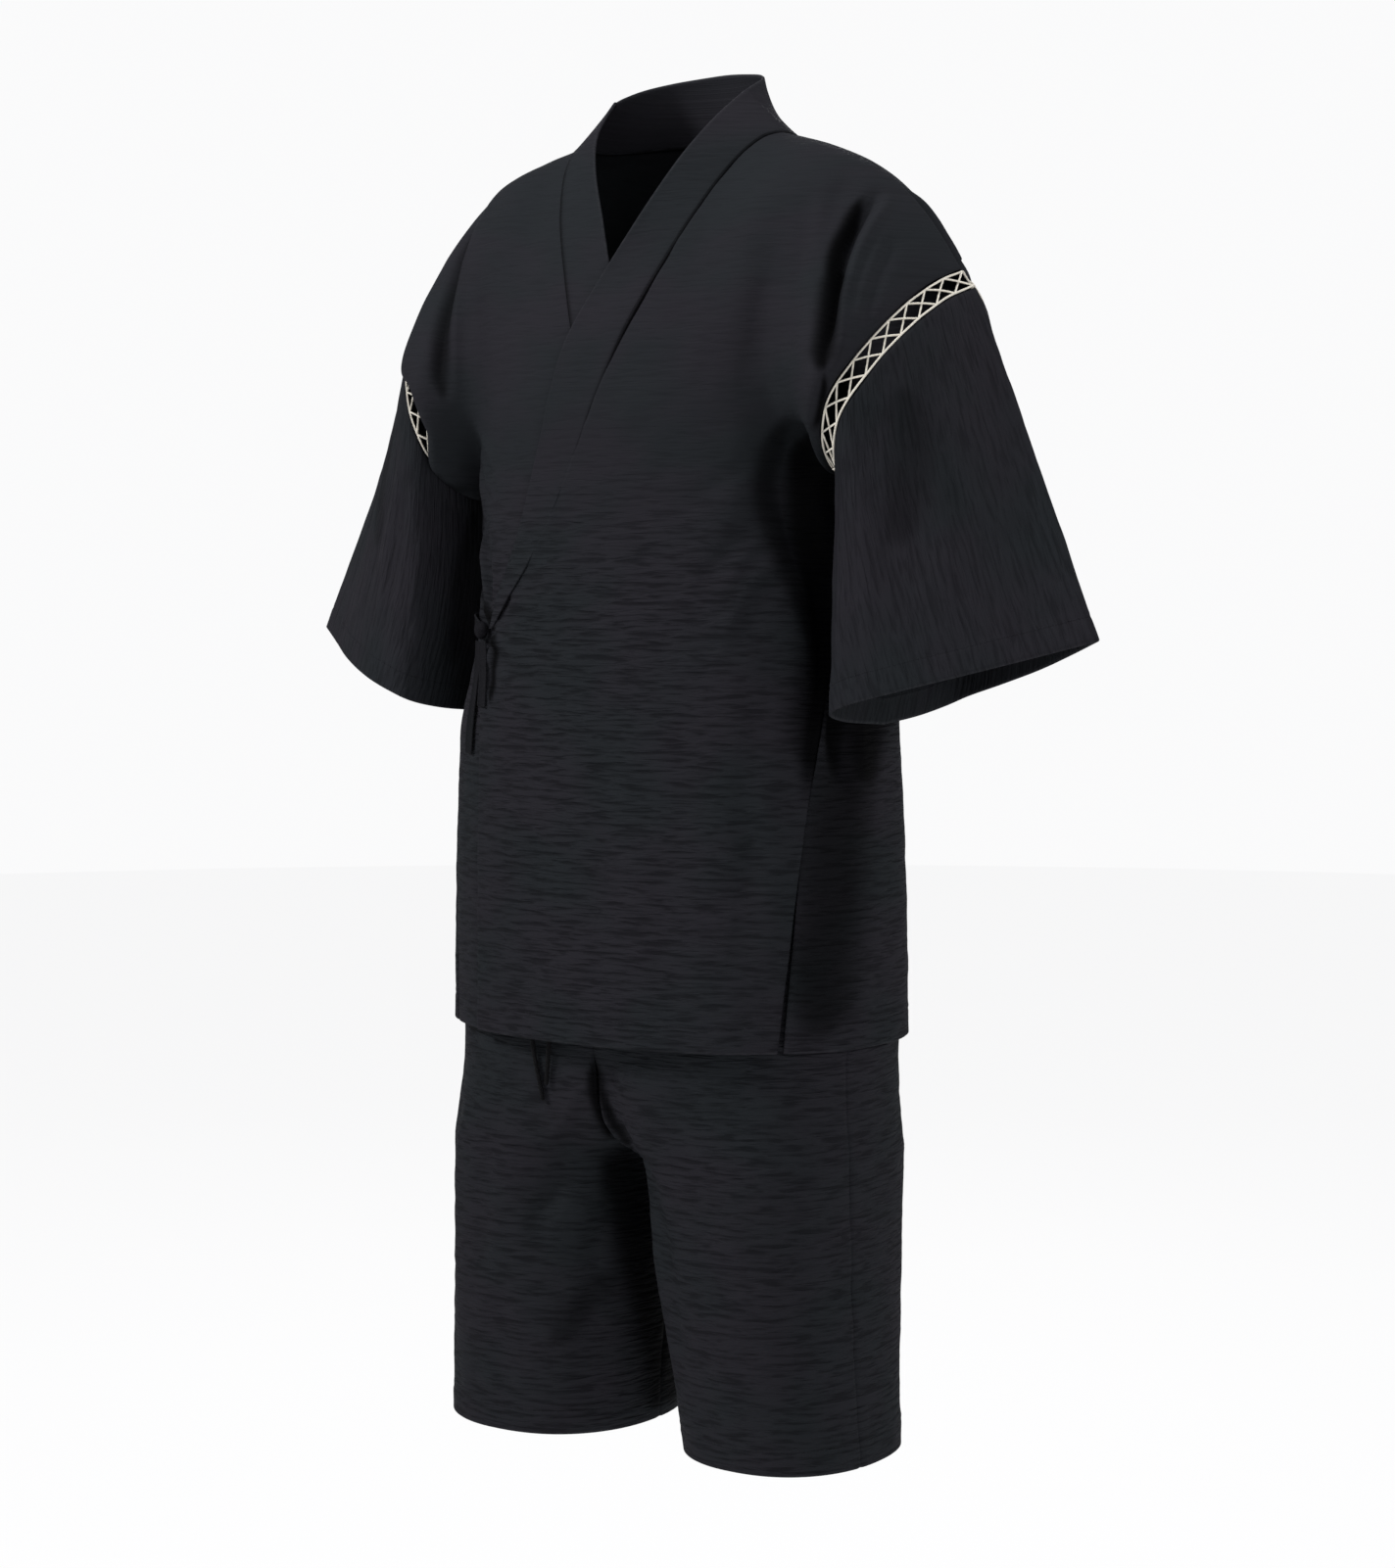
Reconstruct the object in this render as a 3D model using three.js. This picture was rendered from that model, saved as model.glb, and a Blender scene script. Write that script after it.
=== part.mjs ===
// Jinbei: a kimono-style wrap shirt and matching knee-length shorts, in the hollow form they take when worn
// Millimetres. +Z is up, the front faces -Y, and +X is the left side of the garment.
// The origin is midway between the two points where the collar crosses the shoulders.

import * as THREE from "three";

// Driving sizes
const CLOTH = 2.0;            // wall of a single cloth
const BAND = 2.4;             // wall of the folded collar and waistband
const SEAM = 0.34;            // gap left at each seam
const HEM_Z = -662;           // lowest level of the shirt's sections
const CHEST_Z = -215;         // level where the sections begin to roll over to the shoulders
const UNDERARM_DROP = 41;     // how far the underarm lies below the chest line
const SECTION = 2.25;         // roundness of the body's sections, 2 is an ellipse
const WRAP_LIFT = 3.4;        // how far the left front lies out over the right front
const VENT_Z = -509;          // top of the vents at the side seams
const VENT_TURN = 1.1;        // degrees that each edge of a vent stands off the side seam at the hem
const NECK_HALF = 91;         // from the middle to where the collar crosses a shoulder
const NAPE_ROLL = 24;         // how far the back neckline dips behind the crest, in degrees of the roll
const COLLAR_RISES = 34;      // station of the roll where the collar's free edge leaves the chest
const COLLAR_CLEARANCE = 2.8; // between the standing collar and the neckline's edge
const RIGHT_SHOULDER_IN = 19; // how much nearer the middle the right shoulder is carried
const LACE_WIDTH = 16;
const LACE_GAP = 1.15;        // between the lace and the cloth on either side of it
const LACE_WALL = 1.7;
const LACE_PITCHES = 14;      // crossings in each half of an armhole
const LACE_BAR = 2.0;         // width of one cord of the lace
const ARM_DIRECTION = new THREE.Vector3(0.66, 0, -0.75).normalize();
const WAIST_TOP_Z = -436;
const WAISTBAND_HEIGHT = 34;
const CROTCH_Z = -752;

// Colours
const matt = (name, color, roughness) =>
  new THREE.MeshStandardMaterial({ name, color, roughness, metalness: 0 });
const blackCloth = matt("black_cloth", 0x1b1c20, 0.82);
const cream = matt("cream_lace", 0xe9dfcf, 0.7);
const cordBlack = matt("black_cord", 0x111114, 0.75);

// The shirt's body below the chest: half width, depth to the front and depth to the back at each height
const BODY = [
  { at: -672, half: 183, front: 128, back: 122 },
  { at: -560, half: 182, front: 127, back: 118 },
  { at: -430, half: 176, front: 126, back: 112 },
  { at: -320, half: 168, front: 125, back: 110 },
  { at: -215, half: 164, front: 125, back: 109 },
];

// The crest of the shoulders, seen from the front
const SHOULDER = [
  { at: 0, z: 20 },
  { at: 50, z: 13 },
  { at: 91, z: 0 },
  { at: 129, z: -11 },
  { at: 166, z: -27 },
  { at: 200, z: -53 },
  { at: 222, z: -79 },
  { at: 240, z: -106 },
];

// The armhole, from the underarm (0) over the front or the back to the top of the shoulder (90)
const ARMHOLE = [
  { at: 0, x: 164, front: 0, back: 0, z: -256 },
  { at: 8, x: 168, front: -52, back: 50, z: -247 },
  { at: 16, x: 175, front: -82, back: 79, z: -227 },
  { at: 28, x: 187, front: -94, back: 90, z: -198 },
  { at: 42, x: 203, front: -83, back: 80, z: -169 },
  { at: 58, x: 218, front: -62, back: 62, z: -142 },
  { at: 74, x: 231, front: -29, back: 32, z: -118 },
  { at: 90, x: 240, front: 0, back: 0, z: -106 },
];

// The sleeve's hem, by the same stations as the armhole
const CUFF = [
  { at: 0, x: 181, front: -4, back: -4, z: -429 },
  { at: 8, x: 182, front: -56, back: 44, z: -425 },
  { at: 16, x: 188, front: -90, back: 74, z: -419 },
  { at: 28, x: 206, front: -100, back: 78, z: -411 },
  { at: 42, x: 241, front: -90, back: 64, z: -401 },
  { at: 58, x: 283, front: -67, back: 42, z: -389 },
  { at: 74, x: 322, front: -38, back: 14, z: -377 },
  { at: 90, x: 356, front: -12, back: -12, z: -366 },
];

// Where each front meets its collar, by station of the shoulder roll (90 is the crest, 0 the chest line)
const NECKLINE = [
  { at: 0, left: 4, right: 14 },
  { at: 12, left: 16, right: 1 },
  { at: 20, left: 27, right: -13 },
  { at: 34, left: 48, right: -35 },
  { at: 50, left: 66, right: -60 },
  { at: 64, left: 76, right: -76 },
  { at: 78, left: 85, right: -86 },
  { at: 90, left: 91, right: -91 },
];

// Below the chest: where each front's cloth starts, and the free edge of the collar that is sewn to it
const FRONT_EDGE = [
  { at: -672, left: -104, right: 104, leftFree: -107, rightFree: 107 },
  { at: -430, left: -103, right: 103, leftFree: -106, rightFree: 106 },
  { at: -372, left: -99, right: 99, leftFree: -103, rightFree: 103 },
  { at: -340, left: -71, right: 74, leftFree: -87, rightFree: 89 },
  { at: -299, left: -38, right: 46, leftFree: -63, rightFree: 71 },
  { at: -255, left: -14, right: 27, leftFree: -47, rightFree: 58 },
  { at: -215, left: 4, right: 14, leftFree: -34, rightFree: 48 },
];
const COLLAR_END_Z = -362;

// The collar's free edge where it lies on the chest: x at each station of the shoulder roll
const COLLAR_ON_CHEST = [
  { at: 0, left: -34, right: 48 },
  { at: 12, left: -28, right: 40 },
  { at: 20, left: -21, right: 31 },
  { at: 28, left: -9, right: 18 },
  { at: 34, left: 2, right: 7 },
];

// The collar's free edge round the neck. Stations over 90 are behind the crest, and 130 is the nape.
const COLLAR_ROUND_NECK = [
  { at: 34, left: [2, -97, -107], right: [7, -97, -107] },
  { at: 50, left: [29, -84, -58], right: [-16, -77, -58] },
  { at: 64, left: [45, -60, -18], right: [-40, -51, -20] },
  { at: 78, left: [53, -28, 12], right: [-55, -25, 9] },
  { at: 90, left: [57, -1, 31], right: [-58, -1, 31] },
  { at: 104, left: [52, 34, 46], right: [-52, 34, 46] },
  { at: 118, left: [30, 58, 54], right: [-30, 58, 54] },
  { at: 130, left: [0, 66, 57], right: [0, 66, 57] },
];

// Angle of the side seam round the body, measured from the centre front
const SIDE_SEAM = [
  { at: -672, angle: 50 },
  { at: -600, angle: 53 },
  { at: -509, angle: 58 },
  { at: -430, angle: 66 },
  { at: -330, angle: 78 },
  { at: -215, angle: 90 },
];

// Main creases of the shirt, as soft troughs between two points of the cloth
const SHIRT_FOLDS = [
  { from: [168, -30, -36], to: [172, -96, -196], width: 11, depth: 17 },
  { from: [-166, -32, -40], to: [-176, -96, -190], width: 12, depth: 13 },
  { from: [166, 34, -44], to: [170, 92, -200], width: 13, depth: 12 },
  { from: [-166, 34, -44], to: [-170, 92, -200], width: 13, depth: 12 },
  { from: [150, -86, -205], to: [128, -110, -330], width: 16, depth: 8 },
  { from: [-150, -86, -215], to: [-104, -108, -350], width: 13, depth: 7 },
  { from: [-165, -60, -255], to: [-110, -104, -356], width: 12, depth: 8 },
  { from: [150, 80, -230], to: [120, 100, -380], width: 17, depth: 7 },
  { from: [-150, 80, -230], to: [-118, 100, -370], width: 17, depth: 7 },
  { from: [60, 106, -400], to: [-90, 112, -470], width: 20, depth: 4 },
];

// The shorts: each leg's centre, half width, depth to the front and to the back
const LEG_LEFT = [
  { at: -972, centre: 105, half: 76, front: 88, back: 76 },
  { at: -900, centre: 99, half: 79, front: 98, back: 84 },
  { at: -830, centre: 93, half: 84, front: 107, back: 93 },
  { at: -752, centre: 88, half: 88, front: 112, back: 102 },
  { at: -740, centre: 75, half: 101, front: 113, back: 104 },
  { at: -715, centre: 53, half: 122, front: 114, back: 107 },
  { at: -680, centre: 29, half: 146, front: 114, back: 110 },
  { at: -640, centre: 11, half: 167, front: 114, back: 111 },
  { at: -580, centre: 0, half: 179.4, front: 113, back: 109 },
  { at: -470, centre: 0, half: 164, front: 111, back: 102 },
];
const LEG_RIGHT = [
  { at: -972, centre: 103, half: 84, front: 94, back: 84 },
  { at: -900, centre: 98, half: 84, front: 102, back: 88 },
  { at: -830, centre: 93, half: 86, front: 108, back: 95 },
  { at: -752, centre: 88, half: 88, front: 112, back: 102 },
  { at: -740, centre: 75, half: 101, front: 113, back: 104 },
  { at: -715, centre: 53, half: 122, front: 114, back: 107 },
  { at: -680, centre: 29, half: 146, front: 114, back: 110 },
  { at: -640, centre: 11, half: 167, front: 114, back: 111 },
  { at: -580, centre: 0, half: 179.4, front: 113, back: 109 },
  { at: -470, centre: 0, half: 164, front: 111, back: 102 },
];
const SHORTS_FOLDS = [
  { from: [4, -116, -668], to: [26, -96, -752], width: 12, depth: 9 },
  { from: [30, -104, -770], to: [70, -100, -930], width: 16, depth: 5 },
  { from: [-14, -112, -735], to: [-78, -110, -820], width: 15, depth: 6 },
  { from: [-8, 102, -730], to: [-70, 98, -800], width: 15, depth: 7 },
  { from: [8, 102, -730], to: [70, 98, -800], width: 15, depth: 7 },
];

// Drawstring ends: they leave the waistband at the centre front and hang between shirt and shorts
const DRAWSTRING_DIAMETER = 3.6;
const DRAWSTRING = {
  left: [
    [-8, -112.8, -454], [-8, -115.4, -454.6], [-8.3, -117.8, -457], [-8.8, -119.4, -461],
    [-9.6, -119.8, -467], [-12, -119.8, -485], [-17, -119.8, -520], [-22, -119.9, -560],
    [-27, -120.0, -600], [-31, -120.2, -635],
    [-34, -119.8, -658], [-36.5, -118.6, -676], [-38, -117.9, -688], [-39, -117.8, -698],
  ],
  right: [
    [-24, -112.0, -454], [-24, -114.6, -454.6], [-24.4, -117.0, -457], [-25, -118.6, -461],
    [-26, -119.0, -467], [-29, -119.0, -485], [-34, -119.0, -520], [-39, -119.0, -560],
    [-45, -119.0, -600], [-50, -118.6, -635], [-51.5, -118.2, -658], [-50, -117.6, -676],
    [-47, -117.3, -690], [-44, -117.3, -702], [-42.5, -117.3, -710],
  ],
};

// The tie at the right side: where its straps run on the cloth, as x and z, and how far they stand out
const TIE_WIDTH = 11;
const TIE_WALL = 1.6;
const TIE_KNOT = { x: -107, z: -364, out: 6.2, radii: [8, 5.2, 7] };
const TIE_STRAPS = {
  tie_strap_side: [
    { x: -163, z: -352, out: 2.1 }, { x: -157, z: -353, out: 2.3 }, { x: -148, z: -355, out: 2.7 },
    { x: -138, z: -357, out: 3.2 }, { x: -128, z: -360, out: 3.4 }, { x: -117.5, z: -362.5, out: 4.6 },
  ],
  tie_tail_long: [
    { x: -111.5, z: -373, out: 5.4 }, { x: -114, z: -388, out: 3.6 }, { x: -117, z: -408, out: 2.6 },
    { x: -119.5, z: -430, out: 2.4 }, { x: -121, z: -456, out: 2.4 },
  ],
  tie_tail_short: [
    { x: -99.5, z: -372.5, out: 7.6 }, { x: -99, z: -384, out: 6.3 }, { x: -98.5, z: -400, out: 5.5 },
    { x: -99, z: -420, out: 5.4 },
  ],
};

// Soft folds of the left sleeve. The right one mirrors them.
const SLEEVE_FOLDS = [
  { from: [214, -86, -190], to: [262, -78, -330], width: 12, depth: 5 },
  { from: [186, -98, -236], to: [204, -100, -350], width: 10, depth: 4 },
  { from: [214, 80, -190], to: [250, 62, -320], width: 13, depth: 5 },
];

// Arithmetic
const radians = (degrees) => (degrees * Math.PI) / 180;
const mix = (a, b, t) => a + (b - a) * t;
const clamp01 = (t) => Math.min(1, Math.max(0, t));
const ease = (from, to, value) => {
  const t = clamp01((value - from) / (to - from));
  return t * t * (3 - 2 * t);
};
const power = (value, exponent) => Math.sign(value) * Math.abs(value) ** exponent;
const spread = (count, from, to) => Array.from({ length: count + 1 }, (_, i) => mix(from, to, i / count));
const levelOf = (z) => (z - HEM_Z) / (CHEST_Z - HEM_Z);
const heightOf = (level) => mix(HEM_Z, CHEST_Z, level);

// The value of a table's column at a place between its rows, on a smooth curve through them.
// Pick chooses one number of a row.
function column(table, name, at, pick = (row) => row[name]) {
  const place = Math.min(table[table.length - 1].at, Math.max(table[0].at, at));
  let i = 0;
  while (i < table.length - 2 && table[i + 1].at < place) i += 1;
  const [a, b] = [table[i], table[i + 1]];
  const span = b.at - a.at;
  const slope = (j) => {
    const low = table[Math.max(0, j - 1)];
    const high = table[Math.min(table.length - 1, j + 1)];
    return (pick(high) - pick(low)) / (high.at - low.at);
  };
  const t = (place - a.at) / span;
  const t2 = t * t;
  const t3 = t2 * t;
  return (
    (2 * t3 - 3 * t2 + 1) * pick(a) +
    (t3 - 2 * t2 + t) * span * slope(i) +
    (3 * t2 - 2 * t3) * pick(b) +
    (t3 - t2) * span * slope(i + 1)
  );
}

// A column of points, read the same way
function pointColumn(table, name, at) {
  return new THREE.Vector3(...[0, 1, 2].map((axis) => column(table, name, at, (row) => row[name][axis])));
}

// How far the folds push a point of the cloth in
function foldDepth(folds, point) {
  let depth = 0;
  for (const fold of folds) {
    const start = new THREE.Vector3(...fold.from);
    const along = new THREE.Vector3(...fold.to).sub(start);
    const t = clamp01(point.clone().sub(start).dot(along) / along.lengthSq());
    const distance = point.distanceTo(start.addScaledVector(along, t));
    const taper = ease(0, 0.3, t) * ease(1.02, 0.7, t) + 0.12;
    depth += fold.depth * taper * Math.exp(-((distance / fold.width) ** 2));
  }
  return depth;
}

// The right shoulder and its sleeve are carried nearer the middle than the left ones
function carried(point) {
  const share = ease(60, 200, -point.x) * ease(-445, -365, point.z);
  return point.setX(point.x + RIGHT_SHOULDER_IN * share);
}

function pushedIn(folds, point) {
  const inward = new THREE.Vector3(-point.x, -point.y, 0).normalize();
  return point.clone().addScaledVector(inward, foldDepth(folds, point));
}

// The shirt's body. Turn is the angle round the body from the centre front, over 90 on the back.
// Level is 0 at the hem, 1 at the chest line and 2 on the crest of the shoulders.
function bodyForm(turn, level) {
  if (level > 2) return bodyForm(Math.sign(turn) * 180 - turn, 4 - level);
  const onFront = Math.abs(turn) <= 90;
  const side = turn < 0 ? -1 : 1;
  const across = onFront ? Math.abs(turn) / 90 : (180 - Math.abs(turn)) / 90;
  const sideways = power(Math.sin(radians(across * 90)), 2 / SECTION);
  const outward = power(Math.cos(radians(across * 90)), 2 / SECTION);
  const edge = ease(0.45, 1, across);
  if (level <= 1) {
    const z = heightOf(level);
    const drop = UNDERARM_DROP * edge * ease(0.55, 1, level);
    const depth = onFront ? -column(BODY, "front", z) : column(BODY, "back", z);
    return new THREE.Vector3(side * column(BODY, "half", z) * sideways, depth * outward, z - drop);
  }
  const roll = (level - 1) * 90;
  const x = column(ARMHOLE, "x", roll) * sideways;
  const bulge = onFront ? mix(1.5, 2.2, ease(70, 165, x)) : mix(3.4, 2.3, ease(50, 165, x));
  const depth = onFront ? -column(BODY, "front", CHEST_Z) : column(BODY, "back", CHEST_Z);
  const rise = power(Math.sin(radians(roll)), 2 / bulge);
  const reach = power(Math.cos(radians(roll)), 2 / bulge);
  const edgeY = column(ARMHOLE, onFront ? "front" : "back", roll);
  const edgeRise = power(Math.sin(radians(roll)), 2 / (onFront ? 2.2 : 2.3));
  const edgeTop = column(SHOULDER, "z", column(ARMHOLE, "x", roll));
  const edgeZ = column(ARMHOLE, "z", roll) - mix(CHEST_Z, edgeTop, edgeRise);
  const y = depth * outward * reach + edgeY * edge;
  const z = mix(CHEST_Z, column(SHOULDER, "z", x), rise) + edgeZ * edge;
  return new THREE.Vector3(side * x, y, z);
}

const body = (turn, level) => carried(pushedIn(SHIRT_FOLDS, bodyForm(turn, level)));

// The outward normal of a surface given as a function of two parameters
function normalOf(surface, u, v, stepU, stepV, outward) {
  const alongU = surface(u + stepU, v).sub(surface(u - stepU, v));
  const alongV = surface(u, v + stepV).sub(surface(u, v - stepV));
  const normal = alongU.cross(alongV).normalize();
  return normal.dot(outward) < 0 ? normal.negate() : normal;
}

function bodyNormal(turn, level) {
  const point = bodyForm(turn, level);
  const aboveChest = ease(1, 1.9, level);
  const outward = new THREE.Vector3(point.x * mix(1, 0.5, aboveChest), point.y, aboveChest * 90);
  const nearEdge = level > 0.98 && Math.abs(Math.abs(turn) - 90) < 1.2;
  const settled = nearEdge ? turn + (Math.abs(turn) <= 90 ? -1.2 : 1.2) * Math.sign(turn) : turn;
  return normalOf(body, settled, level, 0.8, 0.008, outward);
}

// The turn at which the body's section reaches a given x
function turnAt(x, level) {
  const widest = level <= 1 ? column(BODY, "half", heightOf(level)) : column(ARMHOLE, "x", (level - 1) * 90);
  return (Math.asin(power(clamp01(Math.abs(x) / widest), SECTION / 2)) * 180 * Math.sign(x)) / Math.PI;
}

// Walls: a grid of points with normals becomes one closed solid
const station = (point, normal) => ({ point, normal });

// Moves the border points of a grid in by half a seam on the sides that are named
function insetGrid(rows, sides) {
  const last = rows.length - 1;
  const end = rows[0].length - 1;
  const toward = (from, to, distance) => {
    const step = to.point.clone().sub(from.point);
    from.point.addScaledVector(step.normalize(), distance);
  };
  rows.forEach((row) => {
    if (sides.first) toward(row[0], row[1], sides.first);
    if (sides.last) toward(row[end], row[end - 1], sides.last);
  });
  for (let i = 0; i <= end; i += 1) {
    if (sides.top) toward(rows[0][i], rows[1][i], sides.top);
    if (sides.bottom) toward(rows[last][i], rows[last - 1][i], sides.bottom);
  }
  return rows;
}

// Half keeps a wall on its own side of the middle: 1 for the left, -1 for the right, 0 for either
function wall(rows, thickness, closed = false, half = 0) {
  const count = rows[0].length;
  const positions = [];
  const push = (spot, sign) => {
    const p = spot.point.clone().addScaledVector(spot.normal, (sign * thickness) / 2);
    if (half) p.x = half * Math.max(half * p.x, SEAM / 2);
    positions.push(p.x, p.y, p.z);
  };
  rows.forEach((row) => row.forEach((spot) => push(spot, 1)));
  rows.forEach((row) => row.forEach((spot) => push(spot, -1)));
  const inner = rows.length * count;
  const id = (j, i, layer) => layer * inner + j * count + (i % count);
  const index = [];
  const quad = (a, b, c, d) => index.push(a, b, c, a, c, d);
  const columns = closed ? count : count - 1;
  for (let j = 0; j < rows.length - 1; j += 1) {
    for (let i = 0; i < columns; i += 1) {
      quad(id(j, i, 0), id(j, i + 1, 0), id(j + 1, i + 1, 0), id(j + 1, i, 0));
      quad(id(j, i, 1), id(j + 1, i, 1), id(j + 1, i + 1, 1), id(j, i + 1, 1));
    }
  }
  const last = rows.length - 1;
  for (let i = 0; i < columns; i += 1) {
    quad(id(0, i + 1, 0), id(0, i, 0), id(0, i, 1), id(0, i + 1, 1));
    quad(id(last, i, 0), id(last, i + 1, 0), id(last, i + 1, 1), id(last, i, 1));
  }
  for (let j = 0; j < last && !closed; j += 1) {
    quad(id(j, 0, 0), id(j + 1, 0, 0), id(j + 1, 0, 1), id(j, 0, 1));
    quad(id(j + 1, columns, 0), id(j, columns, 0), id(j, columns, 1), id(j + 1, columns, 1));
  }
  return facingOut(positions, index);
}

// Turns the faces round where the volume comes out negative
function facingOut(positions, index) {
  let volume = 0;
  const corner = (k) => new THREE.Vector3().fromArray(positions, 3 * k);
  for (let i = 0; i < index.length; i += 3) {
    volume += corner(index[i]).dot(corner(index[i + 1]).cross(corner(index[i + 2])));
  }
  if (volume < 0) {
    for (let i = 0; i < index.length; i += 3) {
      [index[i + 1], index[i + 2]] = [index[i + 2], index[i + 1]];
    }
  }
  const geometry = new THREE.BufferGeometry();
  geometry.setAttribute("position", new THREE.Float32BufferAttribute(positions, 3));
  geometry.setIndex(index);
  geometry.computeVertexNormals();
  return geometry;
}

const garment = new THREE.Group();
garment.name = "jinbei";
const shirt = new THREE.Group();
const shorts = new THREE.Group();
garment.add(shirt, shorts);

function addPiece(group, name, geometry, material = blackCloth) {
  const mesh = new THREE.Mesh(geometry, material);
  mesh.name = name;
  group.add(mesh);
}


// The shirt's rows: heights up to the chest line, then stations of the roll over the shoulder
const BODY_HEIGHTS = [-662, -618, -574, -536, -509, -470, -430, -396, -362, -338, -312, -282, -246, -215];
const BODY_ROLLS = [10, 22, 34, 48, 62, 76, 90];
const BODY_LEVELS = [...BODY_HEIGHTS.map(levelOf), ...BODY_ROLLS.map((roll) => 1 + roll / 90)];

// How far out the left front lies, so that it clears the right front under it
function wrapLift(point) {
  return WRAP_LIFT * (1 - ease(110, 136, point.x)) * (1 - ease(-70, -22, point.z));
}

function bodySpot(turn, level, lift = 0) {
  const point = body(turn, level);
  const normal = bodyNormal(turn, level);
  return station(point.addScaledVector(normal, lift), normal);
}

// The x where a front's cloth begins at a level: the collar's seam, or below it the front edge
function frontStart(side, level) {
  if (level <= 1) return column(FRONT_EDGE, side, heightOf(level));
  return column(NECKLINE, side, (level - 1) * 90);
}

// The armhole as a loop. Round is 0 at the top of the shoulder, 180 at the underarm and over 180 on the back.
const loopFace = (round) => (round <= 180 ? "front" : "back");

function armholePoint(side, round) {
  const at = 90 - (round <= 180 ? round : 360 - round) / 2;
  const face = loopFace(round);
  const x = column(ARMHOLE, "x", at);
  const point = new THREE.Vector3(side * x, column(ARMHOLE, face, at), column(ARMHOLE, "z", at));
  return carried(pushedIn(SHIRT_FOLDS, point));
}

function laceEdge(side, round, share) {
  const direction = ARM_DIRECTION.clone();
  direction.x *= side;
  return armholePoint(side, round).addScaledVector(direction, share * (LACE_WIDTH + 2 * LACE_GAP));
}

const laceAxis = (side) => laceEdge(side, 0, 0.5).add(laceEdge(side, 180, 0.5)).multiplyScalar(0.5);

function laceNormal(side, round, share = 0.5) {
  const outward = laceEdge(side, round, share).sub(laceAxis(side));
  return normalOf((u, v) => laceEdge(side, (u + 360) % 360, v), round, share, 1.5, 0.2, outward);
}

function frontPanel(side) {
  const sign = side === "left" ? 1 : -1;
  const across = 13;
  const rows = BODY_LEVELS.map((level) => {
    const start = turnAt(frontStart(side, level), level);
    const vent = level < levelOf(VENT_Z) ? 1 - level / levelOf(VENT_Z) : 0;
    const seam = level >= 1 ? 90 : column(SIDE_SEAM, "angle", heightOf(level)) - vent * VENT_TURN;
    const row = spread(across, start, sign * seam).map((turn) => {
      const lift = side === "left" ? wrapLift(body(turn, level)) : 0;
      return bodySpot(turn, level, lift);
    });
    if (level >= 1) row[across].normal = laceNormal(sign, 180 - 180 * (level - 1));
    return row;
  });
  insetGrid(rows, { first: SEAM / 2, last: SEAM / 2, bottom: SEAM / 2 });
  return wall(rows, CLOTH);
}

// How far behind the crest the back's neckline lies, as a station over 90
const napeRoll = (x) => 90 + NAPE_ROLL * Math.sqrt(Math.max(0, 1 - (x / NECK_HALF) ** 2));

function backPanel(side) {
  const sign = side === "left" ? 1 : -1;
  const across = 9;
  const rows = BODY_LEVELS.map((level) => {
    const vent = level < levelOf(VENT_Z) ? 1 - level / levelOf(VENT_Z) : 0;
    const seam = level >= 1 ? 90.001 : column(SIDE_SEAM, "angle", heightOf(level)) + vent * VENT_TURN;
    const row = spread(across, seam, 180).map((turn) => {
      const crest = column(ARMHOLE, "x", 90) * power(Math.sin(radians(180 - turn)), 2 / SECTION);
      const top = 3 - napeRoll(Math.max(0, crest)) / 90;
      const above = 1 + (level - 1) * (top - 1);
      return bodySpot(sign * turn, level <= 1 ? level : above);
    });
    if (level >= 1) row[0].normal = laceNormal(sign, 180 + 180 * (level - 1));
    return row;
  });
  insetGrid(rows, { first: SEAM / 2, last: SEAM / 2, bottom: SEAM / 2 });
  return wall(rows, CLOTH, false, sign);
}

addPiece(shirt, "shirt_front_left", frontPanel("left"));
addPiece(shirt, "shirt_front_right", frontPanel("right"));
addPiece(shirt, "shirt_back_left", backPanel("left"));
addPiece(shirt, "shirt_back_right", backPanel("right"));

// The collar: one folded band from the end of the left front, round the neck, to the end of the right front
const COLLAR_LEVELS = BODY_LEVELS.filter((level) => level > levelOf(COLLAR_END_Z) - 0.001);
const NAPE_X = [78, 60, 38, 16];

function collarRow(side, level) {
  const seamTurn = turnAt(frontStart(side, level), level);
  const seam = bodySpot(seamTurn, level);
  const roll = (level - 1) * 90;
  if (roll > COLLAR_RISES) {
    return { seam, free: pointColumn(COLLAR_ROUND_NECK, side, roll), standing: ease(20, 70, roll) };
  }
  const below = level <= 1;
  const x = below ? column(FRONT_EDGE, `${side}Free`, heightOf(level)) : column(COLLAR_ON_CHEST, side, roll);
  const lying = (t) => body(turnAt(mix(frontStart(side, level), x, t), level), level);
  return { seam, free: lying(1), lying, standing: 0 };
}

function napeRow(side, x) {
  const sign = side === "left" ? 1 : -1;
  const turn = 180 - (Math.asin((x / column(ARMHOLE, "x", 90)) ** (SECTION / 2)) * 180) / Math.PI;
  const seam = bodySpot(sign * turn, 4 - (1 + napeRoll(x) / 90));
  return { seam, free: pointColumn(COLLAR_ROUND_NECK, side, mix(130, 90, x / NECK_HALF)), standing: 1 };
}

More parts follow.
